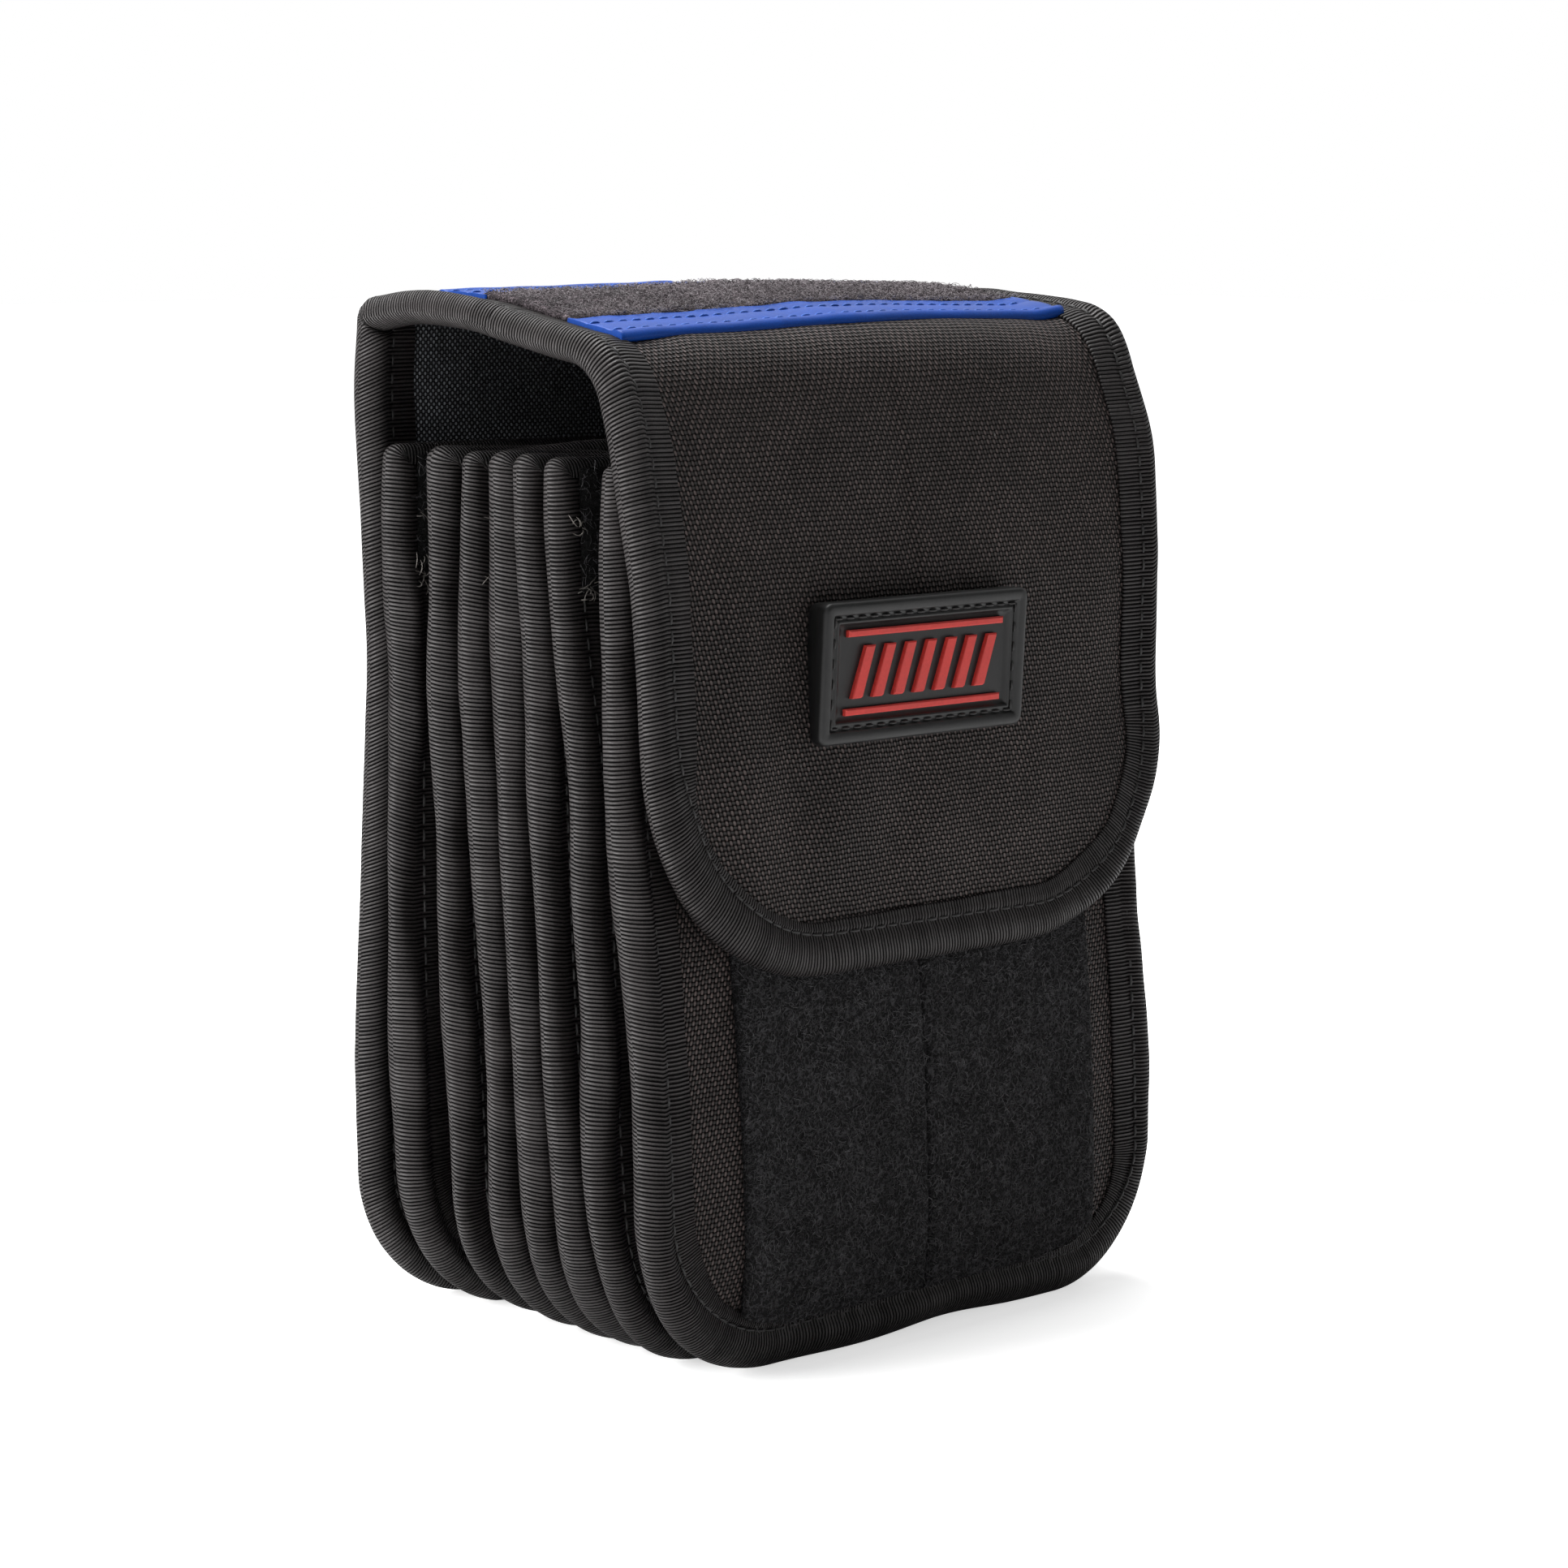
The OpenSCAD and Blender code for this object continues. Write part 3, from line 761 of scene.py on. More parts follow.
def plain(name, colour, rough, grain=0.03, scale=1500, vary=0.25, **values):
    """A smooth material with slight mottling and grain."""
    m = Shader(name, **values)
    place = m.place()
    cloud = m.noise(place, 60, 3.0, 0.6)
    grit = m.noise(place, scale, 3.0, 0.6)
    low, high = (tuple(c * f for c in colour) for f in (1 - vary, 1 + vary))
    mottle = m.fma(grit, 0.5, m.times(cloud, 0.5))
    m.colour(m.ramp(mottle, [(0.35, low), (0.65, high)]))
    m.rough(m.span(cloud, 0.3, 0.7, rough - 0.06, rough + 0.08))
    m.bump(grit, grain * MM)
    return m.material


# In each weave, dark is painted shade between the yarns; the warp crowns are painted bright as a highlight
# and the weft crowns duller as shade
CORDURA = woven(
    "pouch_cloth", pitch=(0.7465, 0.836), shear=0.237, bump=0.22, lint=0.7,
    dark=(0.003, 0.0026, 0.0025), shaded_weft=(0.013, 0.0105, 0.0095), lit_warp=(0.1, 0.076, 0.072),
)
# Painted light: the lining is dark, but its warp crowns are painted light so that they show in the shade
# under the lid
LINING = woven(
    "lining_cloth", pitch=(0.62, 0.62), shear=0.0, bump=0.15,
    dark=(0.0045, 0.0047, 0.0052), shaded_weft=(0.018, 0.019, 0.021), lit_warp=(0.34, 0.355, 0.385),
)
GUSSET = woven(
    "gusset_cloth", pitch=(0.5, 0.5), shear=0.0, bump=0.1,
    dark=(0.002, 0.002, 0.002), shaded_weft=(0.008, 0.008, 0.008), lit_warp=(0.02, 0.02, 0.02),
)
# The tape's dark colour is painted shade in its grooves and its light colour a painted highlight on its ribs
TAPE = ribbed("binding_tape", 0.725, (0.0009, 0.0007, 0.0007), (0.032, 0.0275, 0.0275))
PILE = fuzzy("loop_tape", (0.0013, 0.0013, 0.0013), (0.06, 0.0585, 0.062), tuft=760)
LABEL_PILE = fuzzy("label_loop", (0.012, 0.0095, 0.011), (0.19, 0.158, 0.172), tuft=760)
PILE_FIBRE = plain("loop_fibre", (0.06, 0.058, 0.061), 0.5, vary=0.6, scale=400)
LABEL_FIBRE = plain("label_fibre", (0.16, 0.14, 0.15), 0.6, vary=0.5, scale=400)
HOOK = fuzzy("hook_tape", (0.003, 0.003, 0.003), (0.02, 0.02, 0.02), tuft=1400)
BLUE = plain(
    "blue_trim", (0.002, 0.056, 0.34), 0.45, grain=0.02, scale=2600, vary=0.2, Specular_IOR_Level=0.25
)
BLUE_THREAD = plain("blue_thread", (0.012, 0.09, 0.42), 0.6, grain=0.05, scale=5000)
RUBBER = plain("badge_rubber", (0.0085, 0.0085, 0.0087), 0.42, grain=0.02, vary=0.15)
RED = plain("badge_red", (0.6, 0.042, 0.034), 0.5, grain=0.02, vary=0.1)
THREAD = plain("thread", (0.02, 0.019, 0.019), 0.5, grain=0.05, scale=5000)
FRAY = plain("frayed_thread", (0.12, 0.11, 0.10), 0.7)

# ---------------------------------------------------------------- padded panels


def half_width(width, length, r_low, r_high, inset):
    """Half the width of an outline set in by inset, as a function of s."""
    w, low, high = width / 2 - inset, max(r_low - inset, 0.5), max(r_high - inset, 0.5)

    def at(s):
        down = np.clip((inset + low - s) / low, 0, 1)
        up = np.clip((s - (length - inset - high)) / high, 0, 1)
        return w - low * (1 - np.sqrt(1 - down**2)) - high * (1 - np.sqrt(1 - up**2))

    return at


def pad_rows(low, high, step, r_low=0.0, r_high=0.0):
    """s values of a pad, closer together where its corners are round."""
    count = max(2, int((high - low) / step))
    s = np.linspace(low, high, count)
    extra = [low + r_low * (1 - np.cos(np.linspace(0, np.pi / 2, 12)))] if r_low else []
    extra += [high - r_high * (1 - np.cos(np.linspace(0, np.pi / 2, 12)))] if r_high else []
    return np.unique(np.round(np.concatenate([s, *extra]), 3))


def panel(index):
    """A divider or the front panel: a pad, its tape and its seam, riding on one body."""
    name, body = PANEL_NODES[index - 1], PANEL_BODIES[index - 1]
    place = upright(index)
    front = index == FRONT
    edge = Outline(WIDTH, PANEL_H, BACK_R, TOP_R, 1.1, FRONT_R if front else DIVIDER_R)
    width = half_width(WIDTH, PANEL_H, FRONT_R, TOP_R, PAD_IN)

    def puff(x, s):
        from_edge = np.minimum(WIDTH / 2 - np.abs(x), np.minimum(s, PANEL_H - s))
        return CORE_T / 2 + 0.55 * ease((from_edge - TAPE_W) / 18) * (1 + 0.5 * ripples(x, s, 60 + index, 55))

    rows = pad_rows(PAD_IN, PANEL_H - PAD_IN, 4.0, BACK_R - PAD_IN)
    pad = slab(f"{name}_pad", place, width, rows, 36, puff, lambda x, s: -puff(x, s), [CORDURA, LINING])
    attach(pad, body)
    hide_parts(f"{name}_cloth", f"{name}_foam")
    share = 1 + (FRONT_FOLD if front else 0) * (1 - ease((edge.point[:, 1] - 2) / 24))
    rings = tape_rings(edge, place, 100 + 7 * index, puff=2.8, sway=1.1, share=share)
    tape = loft(f"{name}_tape", rings, edge.along, PROFILE_AROUND, [TAPE], closed=True)
    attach(tape, body)
    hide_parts(f"{name}_binding")
    stitches = seam(f"{name}_seam", edge, place, share=share)
    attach(stitches, body)


def cover_parts():
    """The cover: a pad, a tape and a seam, each cut in two across the lid."""
    edge = Outline(WIDTH, COVER_L, BACK_R, FLAP_R, 1.1)
    width = half_width(WIDTH, COVER_L, BACK_R, FLAP_R, PAD_IN)
    flap_s = cover_s(z=118)

    def outside(x, s):
        from_edge = np.minimum(width(s) + PAD_IN - np.abs(x), np.minimum(s, COVER_L - s))
        soft = ease((from_edge - TAPE_W + 1) / 16)
        low_flap = ease((s - flap_s) / 25)
        creases = 0.7 * low_flap * ripples(x, s, 71, 17, stretch=4.5)
        return CORE_T / 2 + soft * (0.6 + 0.35 * ripples(x, s, 70, 48) + creases)

    def inside(x, s):
        return -CORE_T / 2 - 0.3 * ripples(x, s, 72, 50) * ease((width(s) - np.abs(x) - 6) / 12)

    rear_rows = pad_rows(PAD_IN, S_SPLIT, 1.6, BACK_R - PAD_IN)
    front_rows = pad_rows(S_SPLIT, COVER_L - PAD_IN, 1.6, 0, FLAP_R - PAD_IN)
    halves = (
        ("rear", rear_rows, ("back_cover", "lid"), LID_FOLD, ("back",)),
        ("front", front_rows, ("lid", "flap"), FLAP_FOLD, ("lid", "flap")),
    )
    x, s = edge.point[:, 0], edge.point[:, 1]
    share = 1 + ease((s - COVER_L + 48) / 22) * (FLAP_FOLD_WIDE - FLAP_FOLD_SKEW * x / SIDE_X)
    rings = tape_rings(edge, cover, 300, share=share)
    for name, rows, bodies, fold, parts in halves:
        pad = slab(f"cover_{name}_pad", cover, width, rows, 84, outside, inside, [CORDURA, LINING])
        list(bodies)
        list(fold)
        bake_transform(pad)
        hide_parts(*(f"{part}_{layer}" for part in parts for layer in ("cloth", "foam", "lining")))
        order = run_of(s <= S_SPLIT + 0.6 if name == "rear" else s >= S_SPLIT - 0.6)
        along = edge.along[:-1][order]
        along = np.where(along < along[0], along + edge.along[-1], along)
        tape = loft(f"cover_{name}_tape", rings[order], along, PROFILE_AROUND, [TAPE], skew=TAPE_DRAG)
        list(bodies)
        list(fold)
        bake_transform(tape)
        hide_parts(*(f"{part}_binding" for part in parts))
        half = (lambda x, t: t < S_SPLIT) if name == "rear" else (lambda x, t: t >= S_SPLIT)
        stitches = seam(f"cover_{name}_seam", edge, cover, keep=half, share=share)
        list(bodies)
        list(fold)
        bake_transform(stitches)


def run_of(chosen):
    """The numbers of the chosen stations of a closed outline, in one run from where they start."""
    first = int(np.flatnonzero(chosen & ~np.roll(chosen, 1))[0])
    return (first + np.arange(chosen.sum())) % len(chosen)


def metres(y, z):
    """A point on the middle plane, in metres."""
    return (0.0, y * MM, z * MM)


# Where each fold's bend starts and ends
BACK_FACE = cad("back_binding")[1][1]
LID_FOLD = (metres(BACK_FACE, COVER_TOP - 12), metres(BACK_FACE - 12, COVER_TOP))
FLAP_FOLD = (metres(-18, COVER_TOP), metres(-42, COVER_TOP - 24))

# ---------------------------------------------------------------- loop pile


def pile(name, place, low, high, base_n, height, materials, fibres, seed, trim=None, grain=0.75, lift=1.0):
    """A strip of loop pile between two flat corners: a lumpy felted block with stray fibres on it.

    trim(s), if given, is the greatest distance from the middle at s.
    """
    rng = np.random.default_rng(seed)
    columns, rows = (max(4, int((b - a) / grain)) for a, b in zip(low, high))
    middle, half = (low[0] + high[0]) / 2, (high[0] - low[0]) / 2
    lumps = rng.normal(0, 1, (rows, columns))
    lumps = (lumps + np.roll(lumps, 1, 0) + np.roll(lumps, 1, 1) + np.roll(lumps, (1, 1), (0, 1))) / 4
    x = middle + half * np.linspace(-1, 1, columns)[None, :] * np.ones((rows, 1))
    s = np.linspace(low[1], high[1], rows)[:, None] * np.ones((1, columns))
    if trim is not None:
        limit = trim(s)
        x = np.clip(x, -limit, limit)
    edge = ease(np.minimum.reduce([x - low[0], high[0] - x, s - low[1], high[1] - s]) / 1.2)
    lumps = 0.22 * lumps + 0.12 * ripples(x, s, seed + 1, 9)
    top = base_n + height * (0.55 + 0.33 * edge) + lumps * edge * lift
    points = np.concatenate([place(x, s, n).reshape(-1, 3) for n in (top, base_n + 0 * x)])
    block = np.concatenate(block_faces(rows, columns))
    flat = np.tile(np.stack([x.ravel(), s.ravel()], -1), (2, 1))

    fx = rng.uniform(low[0] + 0.4, high[0] - 0.4, fibres)
    fs = rng.uniform(low[1] + 0.4, high[1] - 0.4, fibres)
    if trim is not None:
        limit = trim(fs) - 0.5
        fx = np.clip(fx, -limit, limit)
    tubes, tube_faces = curls(fx, fs, base_n + height * 0.75, place, rng, lift)
    faces = np.concatenate([block, tube_faces + len(points)])
    points = np.concatenate([points, tubes])
    uv = np.concatenate([flat[block].reshape(-1, 2), np.zeros((tube_faces.size, 2))])
    index = np.r_[np.zeros(len(block)), np.ones(len(tube_faces))]
    return new_piece(name, points, [faces], uv, materials, index)


def curls(x, s, n, place, rng, lift, length=(0.9, 2.6), thickness=0.06):
    """Thin curling fibres that start at flat points (x, s) and arch over the surface."""
    count = len(x)
    turn, bend = rng.uniform(0, 2 * np.pi, count), rng.normal(0, 1.3, count)
    length, rise = rng.uniform(*length, count), rng.uniform(0.15, 0.75, count) * lift
    t = np.linspace(0, 1, 6)
    heading = turn[:, None] + bend[:, None] * t[None, :]
    step = length[:, None] / 5
    px = x[:, None] + np.cumsum(np.cos(heading) * step, 1)
    ps = s[:, None] + np.cumsum(np.sin(heading) * step, 1)
    pn = n + rise[:, None] * np.sin(np.pi * t[None, :] * 0.85)
    line = place(px, ps, pn)
    way = np.gradient(line, axis=1)
    way /= np.linalg.norm(way, axis=2)[..., None] + 1e-9
    up = np.array([0.31, -0.72, 0.62])
    side = np.cross(way, up)
    side /= np.linalg.norm(side, axis=2)[..., None] + 1e-9
    over = np.cross(side, way)
    thin = (thickness * np.array([1, 1, 1, 0.9, 0.8, 0.4]))[None, :, None, None]
    angle = np.arange(3) * 2 * np.pi / 3
    points = line[:, :, None] + spokes(side, over, angle) * thin
    quads = grid_faces(6, 3, wrap_columns=True)[0]
    start = (np.arange(count) * 18)[:, None, None]
    return points.reshape(-1, 3), (quads[None] + start).reshape(-1, 4)


LOOP_FIBRES = 5200


def front_loops():
    """The front panel's two loop strips."""
    place = upright(FRONT)
    trim = half_width(WIDTH, PANEL_H, FRONT_R, TOP_R, TAPE_W - 2.2)
    for side, seed in (("left", 401), ("right", 402)):
        low, high = cad(f"front_loop_{side}")
        foot = SEAM_IN * (1 + FRONT_FOLD) + 0.8
        strip = pile(
            f"front_loop_{side}_pile", place, (low[0], foot), (high[0], high[2]), CORE_T / 2 + 0.2,
            high[1] - low[1], [PILE, PILE_FIBRE], LOOP_FIBRES, seed, trim=trim,
        )
        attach(strip, "front_panel")
        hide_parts(f"front_loop_{side}")


def on_lid(x, s, n):
    """A point on the lid for its trims, which are sewn on a little askew, further back at the right."""
    return cover(x, s - LABEL_BACK - LABEL_ASKEW * x, n)


def lid_trims():
    """The lid's loop strip and the blue band on each side of it."""
    low, high = cad("lid_loop_tape")
    front_s, rear_s = cover_s(y=low[1]), cover_s(y=high[1])
    strip = pile(
        "lid_loop_pile", on_lid, (low[0] - 1, rear_s), (high[0] + 1, front_s), CORE_T / 2 + 0.5,
        1.5, [LABEL_PILE, LABEL_FIBRE], LOOP_FIBRES, 403, lift=1.2,
    )
    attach(strip, "lid")
    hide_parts("lid_loop_tape")
    front_edge, rear_edge = cover_s(y=cad("lid_trim_front")[0][1]), cover_s(y=cad("lid_trim_rear")[1][1])
    blue_band("front", front_s - 1.5, front_edge, low[0] - 1.5, high[0] + 1.5)
    blue_band("rear", rear_s + 1.5, rear_edge, low[0] - 1.5, high[0] + 1.5)


# A band's height over its base, against the distance in from its rolled outer edge; it dips at its seams
BAND_SEAMS = (3.1, 9.1)
BAND_W = np.array([0.0, 0.15, 0.6, 1.3, 2.0, 2.6, 3.1, 4.2, 6.5, 8.6, 9.1, 9.6, 11.0, 14.0])
BAND_N = np.array([0.1, 0.75, 1.25, 1.45, 1.3, 1.0, 0.9, 1.05, 1.1, 1.0, 0.88, 1.0, 1.05, 1.0])


def blue_band(name, inner, outer, x0, x1):
    """A coated band with a rolled outer edge, held by two rows of stitches."""
    way = math.copysign(1, inner - outer)
    x = np.linspace(x0, x1, 120)
    keep = BAND_W <= abs(inner - outer) + 0.5
    w, n = BAND_W[keep], BAND_N[keep]
    base = CORE_T / 2 + 0.45

    def seam_s(x, u):
        """Distance along the cover at u in from the band's outer edge, which wobbles."""
        return outer + way * u + 0.3 * waves(x, 31, 38) * (1 - u / 14)

    top = [on_lid(x, seam_s(x, u), base + h + 0.07 * waves(x, 33, 12)) for u, h in zip(w, n)]
    under = [on_lid(x, outer + way * u, base - 0.6 + 0 * x) for u in (w[-1], w[0] + 0.3)]
    rings = np.stack(top + under, 1)
    if way > 0:
        rings = rings[:, ::-1]
    around = np.arange(rings.shape[1] + 1) * 1.0
    band = recalculated(loft(f"lid_band_{name}", rings, x, around, [BLUE]))
    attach(band, "lid")
    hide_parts(f"lid_trim_{name}")
    at = np.arange(x0 + 2, x1 - 2, STITCH_PITCH)
    flats = [np.stack([at, seam_s(at, u)], -1) for u in BAND_SEAMS]
    runs = [stitch_run(on_lid, flat, flat + (0.4, 0), base + 0.95, base + 2.0) for flat in flats]
    stitches = threads(f"lid_band_{name}_seam", runs, BLUE_THREAD)
    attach(stitches, "lid")


# ---------------------------------------------------------------- badge


def rounded_rectangle(w, h, r):
    """Points round a rectangle, seven to a corner."""
    points = []
    for cx, cz, turn in ((1, -1, -90), (1, 1, 0), (-1, 1, 90), (-1, -1, 180)):
        for a in np.radians(turn + np.linspace(0, 90, 7)):
            points.append((cx * (w / 2 - r) + r * math.cos(a), cz * (h / 2 - r) + r * math.sin(a)))
    return np.array(points)


def badge():
    """A rubber moulding: raised rim, stitched groove and a recessed panel with a raised red device."""
    low, high = cad("badge_base")
    middle_x, middle_z = (low[0] + high[0]) / 2, (low[2] + high[2]) / 2
    w, h, t = high[0] - low[0], high[2] - low[2], high[1] - low[1]
    s0 = cover_s(z=middle_z)
    frame_y, frame_z = at_s(COVER_LINE, s0)
    out = at_s(COVER_OUT, s0)
    face = CORE_T / 2 + 0.2

    def spot(flat, n):
        """A point of the badge: flat across and up its face, n out of it."""
        flat = np.asarray(flat, float)
        y = frame_y + out[0] * (face + n) - out[1] * flat[..., 1]
        z = frame_z + out[1] * (face + n) - out[0] * flat[..., 1]
        return np.stack([middle_x + flat[..., 0], y, z], -1)

    rings = [
        spot(rounded_rectangle(w - 2 * i, h - 2 * i, max(1.8 - i * 0.8, 0.35)), t * rise)
        for i, rise in BADGE_SECTION
    ]
    along, around = np.arange(len(rings)) * 1.0, np.arange(len(rings[0]) + 1) * 1.0
    base = recalculated(loft("badge_moulding", np.stack(rings), along, around, [RUBBER]))
    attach(base, "flap")
    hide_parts("badge_base")
    device = device_mesh("badge_device", device_shapes(), spot, t * 0.74, t * 0.74 + 1.0)
    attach(device, "flap")
    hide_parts("badge_emblem")
    stitches = badge_seam(w, h, t, spot)
    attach(stitches, "flap")
    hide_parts("badge_stitching")


def badge_seam(w, h, t, spot):
    """Stitches in the groove round the badge."""
    inset, groove_n, runs = 2.85, t * 0.86 + 0.12, []
    for length, fixed, upright_side in ((w, h, False), (h, w, True)):
        run = length / 2 - inset - 0.8
        at = np.linspace(-run, run, int(2 * run / 2.6))
        for side in (-1, 1):
            other = np.full(len(at), side * (fixed / 2 - inset))
            pairs = ((other, p) if upright_side else (p, other) for p in (at, at + 0.3))
            flat, ahead = (np.stack(pair, -1) for pair in pairs)
            runs.append(stitch_run(lambda x, z, n: spot(np.stack([x, z], -1), n), flat, ahead, groove_n, t))
    return threads("badge_seam", runs, THREAD, length=1.9, radius=0.24)


# The badge's section, from its foot to its middle: distance in, and height as a share of its thickness
BADGE_SECTION = [
    (0, 0), (0, 0.82), (0.12, 0.92), (0.45, 0.985), (0.9, 1.0), (2.0, 1.0), (2.25, 0.96), (2.4, 0.86),
    (3.2, 0.86), (3.35, 0.9), (3.7, 0.9), (3.9, 0.86), (4.1, 0.76), (5.0, 0.75),
]
BAR_W, BAR_H, BAR_Z = 38.0, 1.2, 6.9
STRIPES, STRIPE_PITCH, STRIPE_H = 7, 5.0, 9.2


def device_shapes():
    """A bar above and below a row of slanted stripes: nobody's mark."""
    x = BAR_W / 2
    shapes = []
    for z in (-BAR_Z, BAR_Z):
        low, high = z - BAR_H / 2, z + BAR_H / 2
        shapes.append(np.array([(-x, low), (x, low), (x, high), (-x, high)]))
    for i in range(STRIPES):
        at, top = (i - STRIPES // 2) * STRIPE_PITCH, STRIPE_H / 2
        shapes.append(np.array([(at - 2.6, -top), (at - 0.4, -top), (at + 2.6, top), (at + 0.4, top)]))
    return shapes


def device_mesh(name, shapes, spot, low_n, high_n):
    """Raised four-sided shapes with a small bevel round the top."""
    points, faces = [], []
    for shape in shapes:
        centre = shape.mean(0)
        inner = centre + (shape - centre) * (1 - 0.28 / np.maximum(np.abs(shape - centre), 0.6))
        start = sum(len(p) for p in points)
        points += [spot(shape, low_n), spot(shape, high_n - 0.25), spot(inner, high_n)]
        for row in range(2):
            for c in range(4):
                a, b = start + row * 4 + c, start + row * 4 + (c + 1) % 4
                faces.append((a, b, b + 4, a + 4))
        faces.append(tuple(start + 8 + c for c in range(4)))
        faces.append(tuple(start + c for c in (3, 2, 1, 0)))
    faces = np.array(faces)
    obj = new_piece(name, np.concatenate(points), [faces], np.zeros((faces.size, 2)), [RED])
    obj.data.polygons.foreach_set("use_smooth", np.zeros(len(obj.data.polygons), bool))
    return recalculated(obj)


# ---------------------------------------------------------------- small cloth parts inside


def gussets():
    """The cloth strips that join each panel to the next round its sides and base."""
    off = CORE_T / 2 + GUSSET_GAP
    for k in range(1, POCKETS + 1):
        high = cad(f"gusset_{k}")[1]
        rear, front = upright(k - 1), upright(k)
        # an outline far taller than the gusset, of which only the sides and base are used
        edge = Outline(WIDTH, 400.0, BACK_R, TOP_R, 2.0)
        flat = edge.inset(WIDTH / 2 - high[0])
        order = run_of(flat[:, 1] <= high[2])
        line, inward = flat[order], edge.inward[order]
        shares = np.linspace(0, 1, 7)
        columns = []
        for thick in (0.0, 0.5):
            sheet = []
            for share in shares:
                sag = 1.1 * math.sin(math.pi * share) * (1 + 0.4 * waves(np.arange(len(line)), 80 + k, 30))
                p = line + inward * (sag + thick)[:, None]
                a = rear(*p.T, off) if k > 1 else cover(*p.T, -off)
                b = front(*p.T, -off)
                sheet.append(a * (1 - share) + b * share)
            columns.append(sheet if thick == 0 else sheet[::-1])
        rings = np.stack(columns[0] + columns[1], 1)
        along = np.r_[0, np.cumsum(np.linalg.norm(np.diff(line, axis=0), axis=1))]
        around = np.arange(rings.shape[1] + 1) * 1.0
        cloth = recalculated(loft(f"gusset_{k}_cloth", rings, along, around, [GUSSET]))
        bend_gusset(cloth, k)
        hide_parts(f"gusset_{k}")


def bend_gusset(cloth, k):
    """Bakes the cloth's placement into its mesh.
    """
    rear_y, front_y = PANEL_Y[k - 1] - CORE_T / 2, PANEL_Y[k] + CORE_T / 2
    metres(front_y, 0)
    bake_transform(cloth)


def tabs():
    """Hook and loop tabs at the sides of three pockets' mouths."""
    for kind, material in (("hook", HOOK), ("loop", PILE)):
        for k in (2, 4, 7):
            node = f"tab_{kind}_{k}"
            index = k - 1 if kind == "hook" else k
            body = PANEL_BODIES[index - 1]
            low, high = cad(node)
            side_n = 1 if kind == "hook" else -1
            place = upright(index)
            flip = (lambda x, s, n: place(x, s, side_n * n))
            parts = []
            for side in (-1, 1):
                reach = sorted((side * (high[0] - TAB_END), side * (high[0] - TAB_IN)))
                parts.append(pile(
                    f"{node}_{side}", flip, (reach[0], low[2]), (reach[1], high[2]), CORE_T / 2 - 0.2, 2.2,
                    [material, PILE_FIBRE], 260, 500 + 10 * k + side, grain=0.9,
                ))
            joined = join(parts, f"{node}_pair")
            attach(joined, body)
            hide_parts(node)
            if kind == "hook":
                frayed(index, low, high)


def frayed(index, low, high):
    """The frayed ends of the thread that holds a hook tab, at its foot and halfway up."""
    rng = np.random.default_rng(600 + index)
    count = 34
    side = rng.choice([-1, 1], count)
    x = side * (high[0] - TAB_IN + rng.uniform(-1.5, 1.6, count))
    foot = rng.uniform(0, 1, count) < 0.75
    s = np.where(foot, low[2] + rng.uniform(-1.5, 1.5, count), low[2] + 11 + rng.uniform(-0.6, 0.6, count))
    points, faces = curls(x, s, CORE_T / 2 + 2.0, upright(index), rng, 1.6, length=(1.2, 3.4), thickness=0.1)
    ends = new_piece(f"tab_thread_{index}", points, [faces], np.zeros((faces.size, 2)), [FRAY])
    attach(ends, PANEL_BODIES[index - 1])


def join(parts, name):
    """One piece made of several."""
    bpy.ops.object.select_all(action="DESELECT")
    for part in parts:
        part.select_set(True)
    bpy.context.view_layer.objects.active = parts[0]
    bpy.ops.object.join()
    joined = bpy.context.view_layer.objects.active
    joined.name = joined.data.name = name
    joined.select_set(False)
    return joined


def hook_patch():
    """The hook tape inside the flap."""
    low, high = cad("flap_hook_tape")
    top, bottom = cover_s(z=high[2]), cover_s(z=low[2])
    inward = (lambda x, s, n: cover(x, s, -n))
    patch = recalculated(pile(
        "flap_hook_patch", inward, (low[0], top), (high[0], bottom), CORE_T / 2 - 0.2, 1.9,
        [HOOK, PILE_FIBRE], 0, 420, grain=1.2, lift=0.5,
    ))
    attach(patch, "flap")
    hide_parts("flap_hook_tape")


# ---------------------------------------------------------------- studio


# The surround lights the pouch less than it shows to the camera; so does the floor, which glows faintly
# near the pouch and fully further off
SURROUND = 0.04
BACKDROP = 0.8
GLOW_NEAR, GLOW_FROM, GLOW_TO = 0.6, 0.08, 0.42
FLOOR_SIZE = 12
# The camera fitted to the photograph: angles, distance, target, lens in mm and shift
VIEW_TURN = math.radians(42.44)
VIEW_DIP = math.radians(7.93)
VIEW_ROLL = math.radians(0.26)
VIEW_DISTANCE = 0.7517
VIEW_TARGET = Vector((0, 0.0069, 0.1))
LENS = 93.17
SHIFT_X, SHIFT_Y = 0.0131, -0.0137


def studio():
    """A white floor that fades into a white surround, and large soft lamps."""
    floor_plane()
    surround()
    lamp("overhead", (0.0, 0.4, 1.3), size=1.0, watts=23)
    lamp("left", (-1.25, 0.5, 0.45), size=0.7, watts=29)
    lamp("front", (-1.0, -1.0, 0.7), size=0.7, watts=2.5)


def floor_plane():
    """A pale floor, which looks evenly white to the camera away from the pouch."""
    bpy.ops.mesh.primitive_plane_add(size=FLOOR_SIZE)
    floor = bpy.context.active_object
    floor.name = "studio_floor"
    m = Shader("studio_white", Roughness=0.9)
    m.colour((0.92, 0.92, 0.92, 1))
    away = m.node("ShaderNodeVectorMath", operation="LENGTH")
    m.tree.links.new(m.place(), away.inputs[0])
    glow = m.span(away.outputs["Value"], GLOW_FROM, GLOW_TO, GLOW_NEAR, 1.0)
    seen = m.node("ShaderNodeLightPath")
    m.surface.inputs["Emission Color"].default_value = (1, 1, 1, 1)
    m.link(m.times(glow, seen.outputs["Is Camera Ray"]), m.surface.inputs["Emission Strength"])
    floor.data.materials.append(m.material)


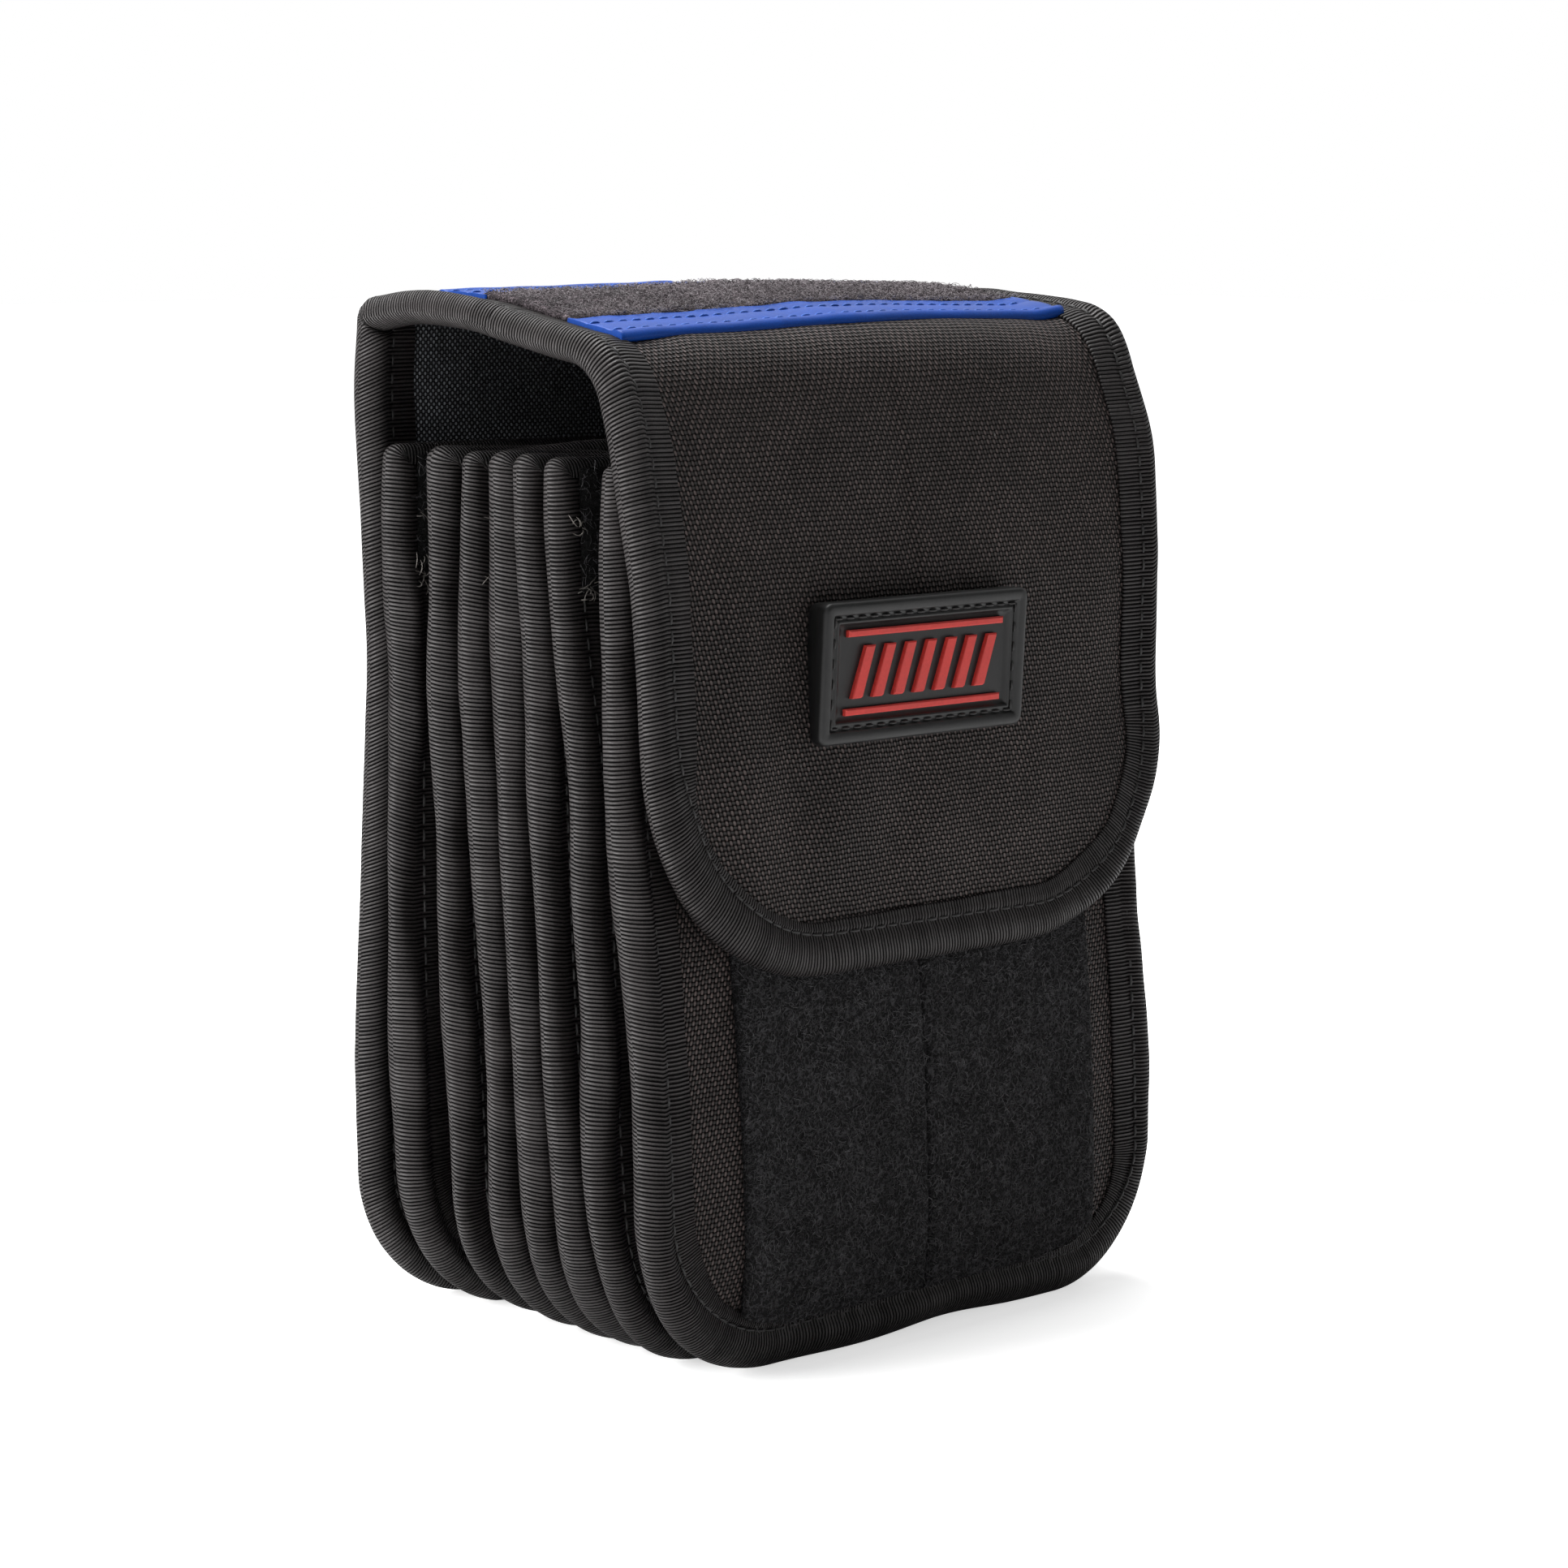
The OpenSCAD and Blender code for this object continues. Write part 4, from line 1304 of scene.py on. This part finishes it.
def surround():
    """White to the camera; as a light, bright behind the pouch and dim in front of it."""
    world = bpy.data.worlds.new("studio")
    world.use_nodes = True
    m = Nodes(world.node_tree)
    background = m.tree.nodes["Background"]
    background.inputs[0].default_value = (1, 1, 1, 1)
    facing = m.node("ShaderNodeVectorMath", operation="DOT_PRODUCT")
    m.link(m.node("ShaderNodeTexCoord").outputs["Generated"], facing.inputs[0])
    facing.inputs[1].default_value = (math.sin(VIEW_TURN), math.cos(VIEW_TURN), 0.1)
    share = m.span(facing.outputs["Value"], -0.1, 0.8, SURROUND, BACKDROP)
    seen = m.node("ShaderNodeLightPath").outputs["Is Camera Ray"]
    m.link(m.math("MAXIMUM", seen, share), background.inputs[1])
    bpy.context.scene.world = world


def lamp(name, where, size, watts):
    """A square soft lamp that faces the pouch."""
    data = bpy.data.lights.new(name, "AREA")
    data.energy, data.size = watts, size
    made = add_object(name, data)
    made.location = where
    made.rotation_euler = (Vector((0, 0, 0.09)) - made.location).to_track_quat("-Z", "Y").to_euler()


def camera():
    """The photograph's view: from the front left, a little above."""
    data = bpy.data.cameras.new("view")
    data.sensor_width = 36
    data.lens = LENS
    data.shift_x, data.shift_y = SHIFT_X, SHIFT_Y
    data.clip_start = 0.05
    level = Vector((math.sin(VIEW_TURN), math.cos(VIEW_TURN), 0))
    view = level * math.cos(VIEW_DIP) - Vector((0, 0, math.sin(VIEW_DIP)))
    flat_right = Vector((math.cos(VIEW_TURN), -math.sin(VIEW_TURN), 0))
    flat_up = flat_right.cross(view)
    right = flat_right * math.cos(VIEW_ROLL) + flat_up * math.sin(VIEW_ROLL)
    up = flat_up * math.cos(VIEW_ROLL) - flat_right * math.sin(VIEW_ROLL)
    made = add_object("view", data)
    turn = Matrix((right, up, -view)).transposed()
    made.matrix_world = Matrix.Translation(VIEW_TARGET - view * VIEW_DISTANCE) @ turn.to_4x4()
    bpy.context.scene.camera = made
    bpy.context.scene.view_settings.view_transform = "Standard"


camera()
studio()
for number in range(1, POCKETS + 1):
    panel(number)
cover_parts()
front_loops()
lid_trims()
badge()
gussets()
tabs()
hook_patch()
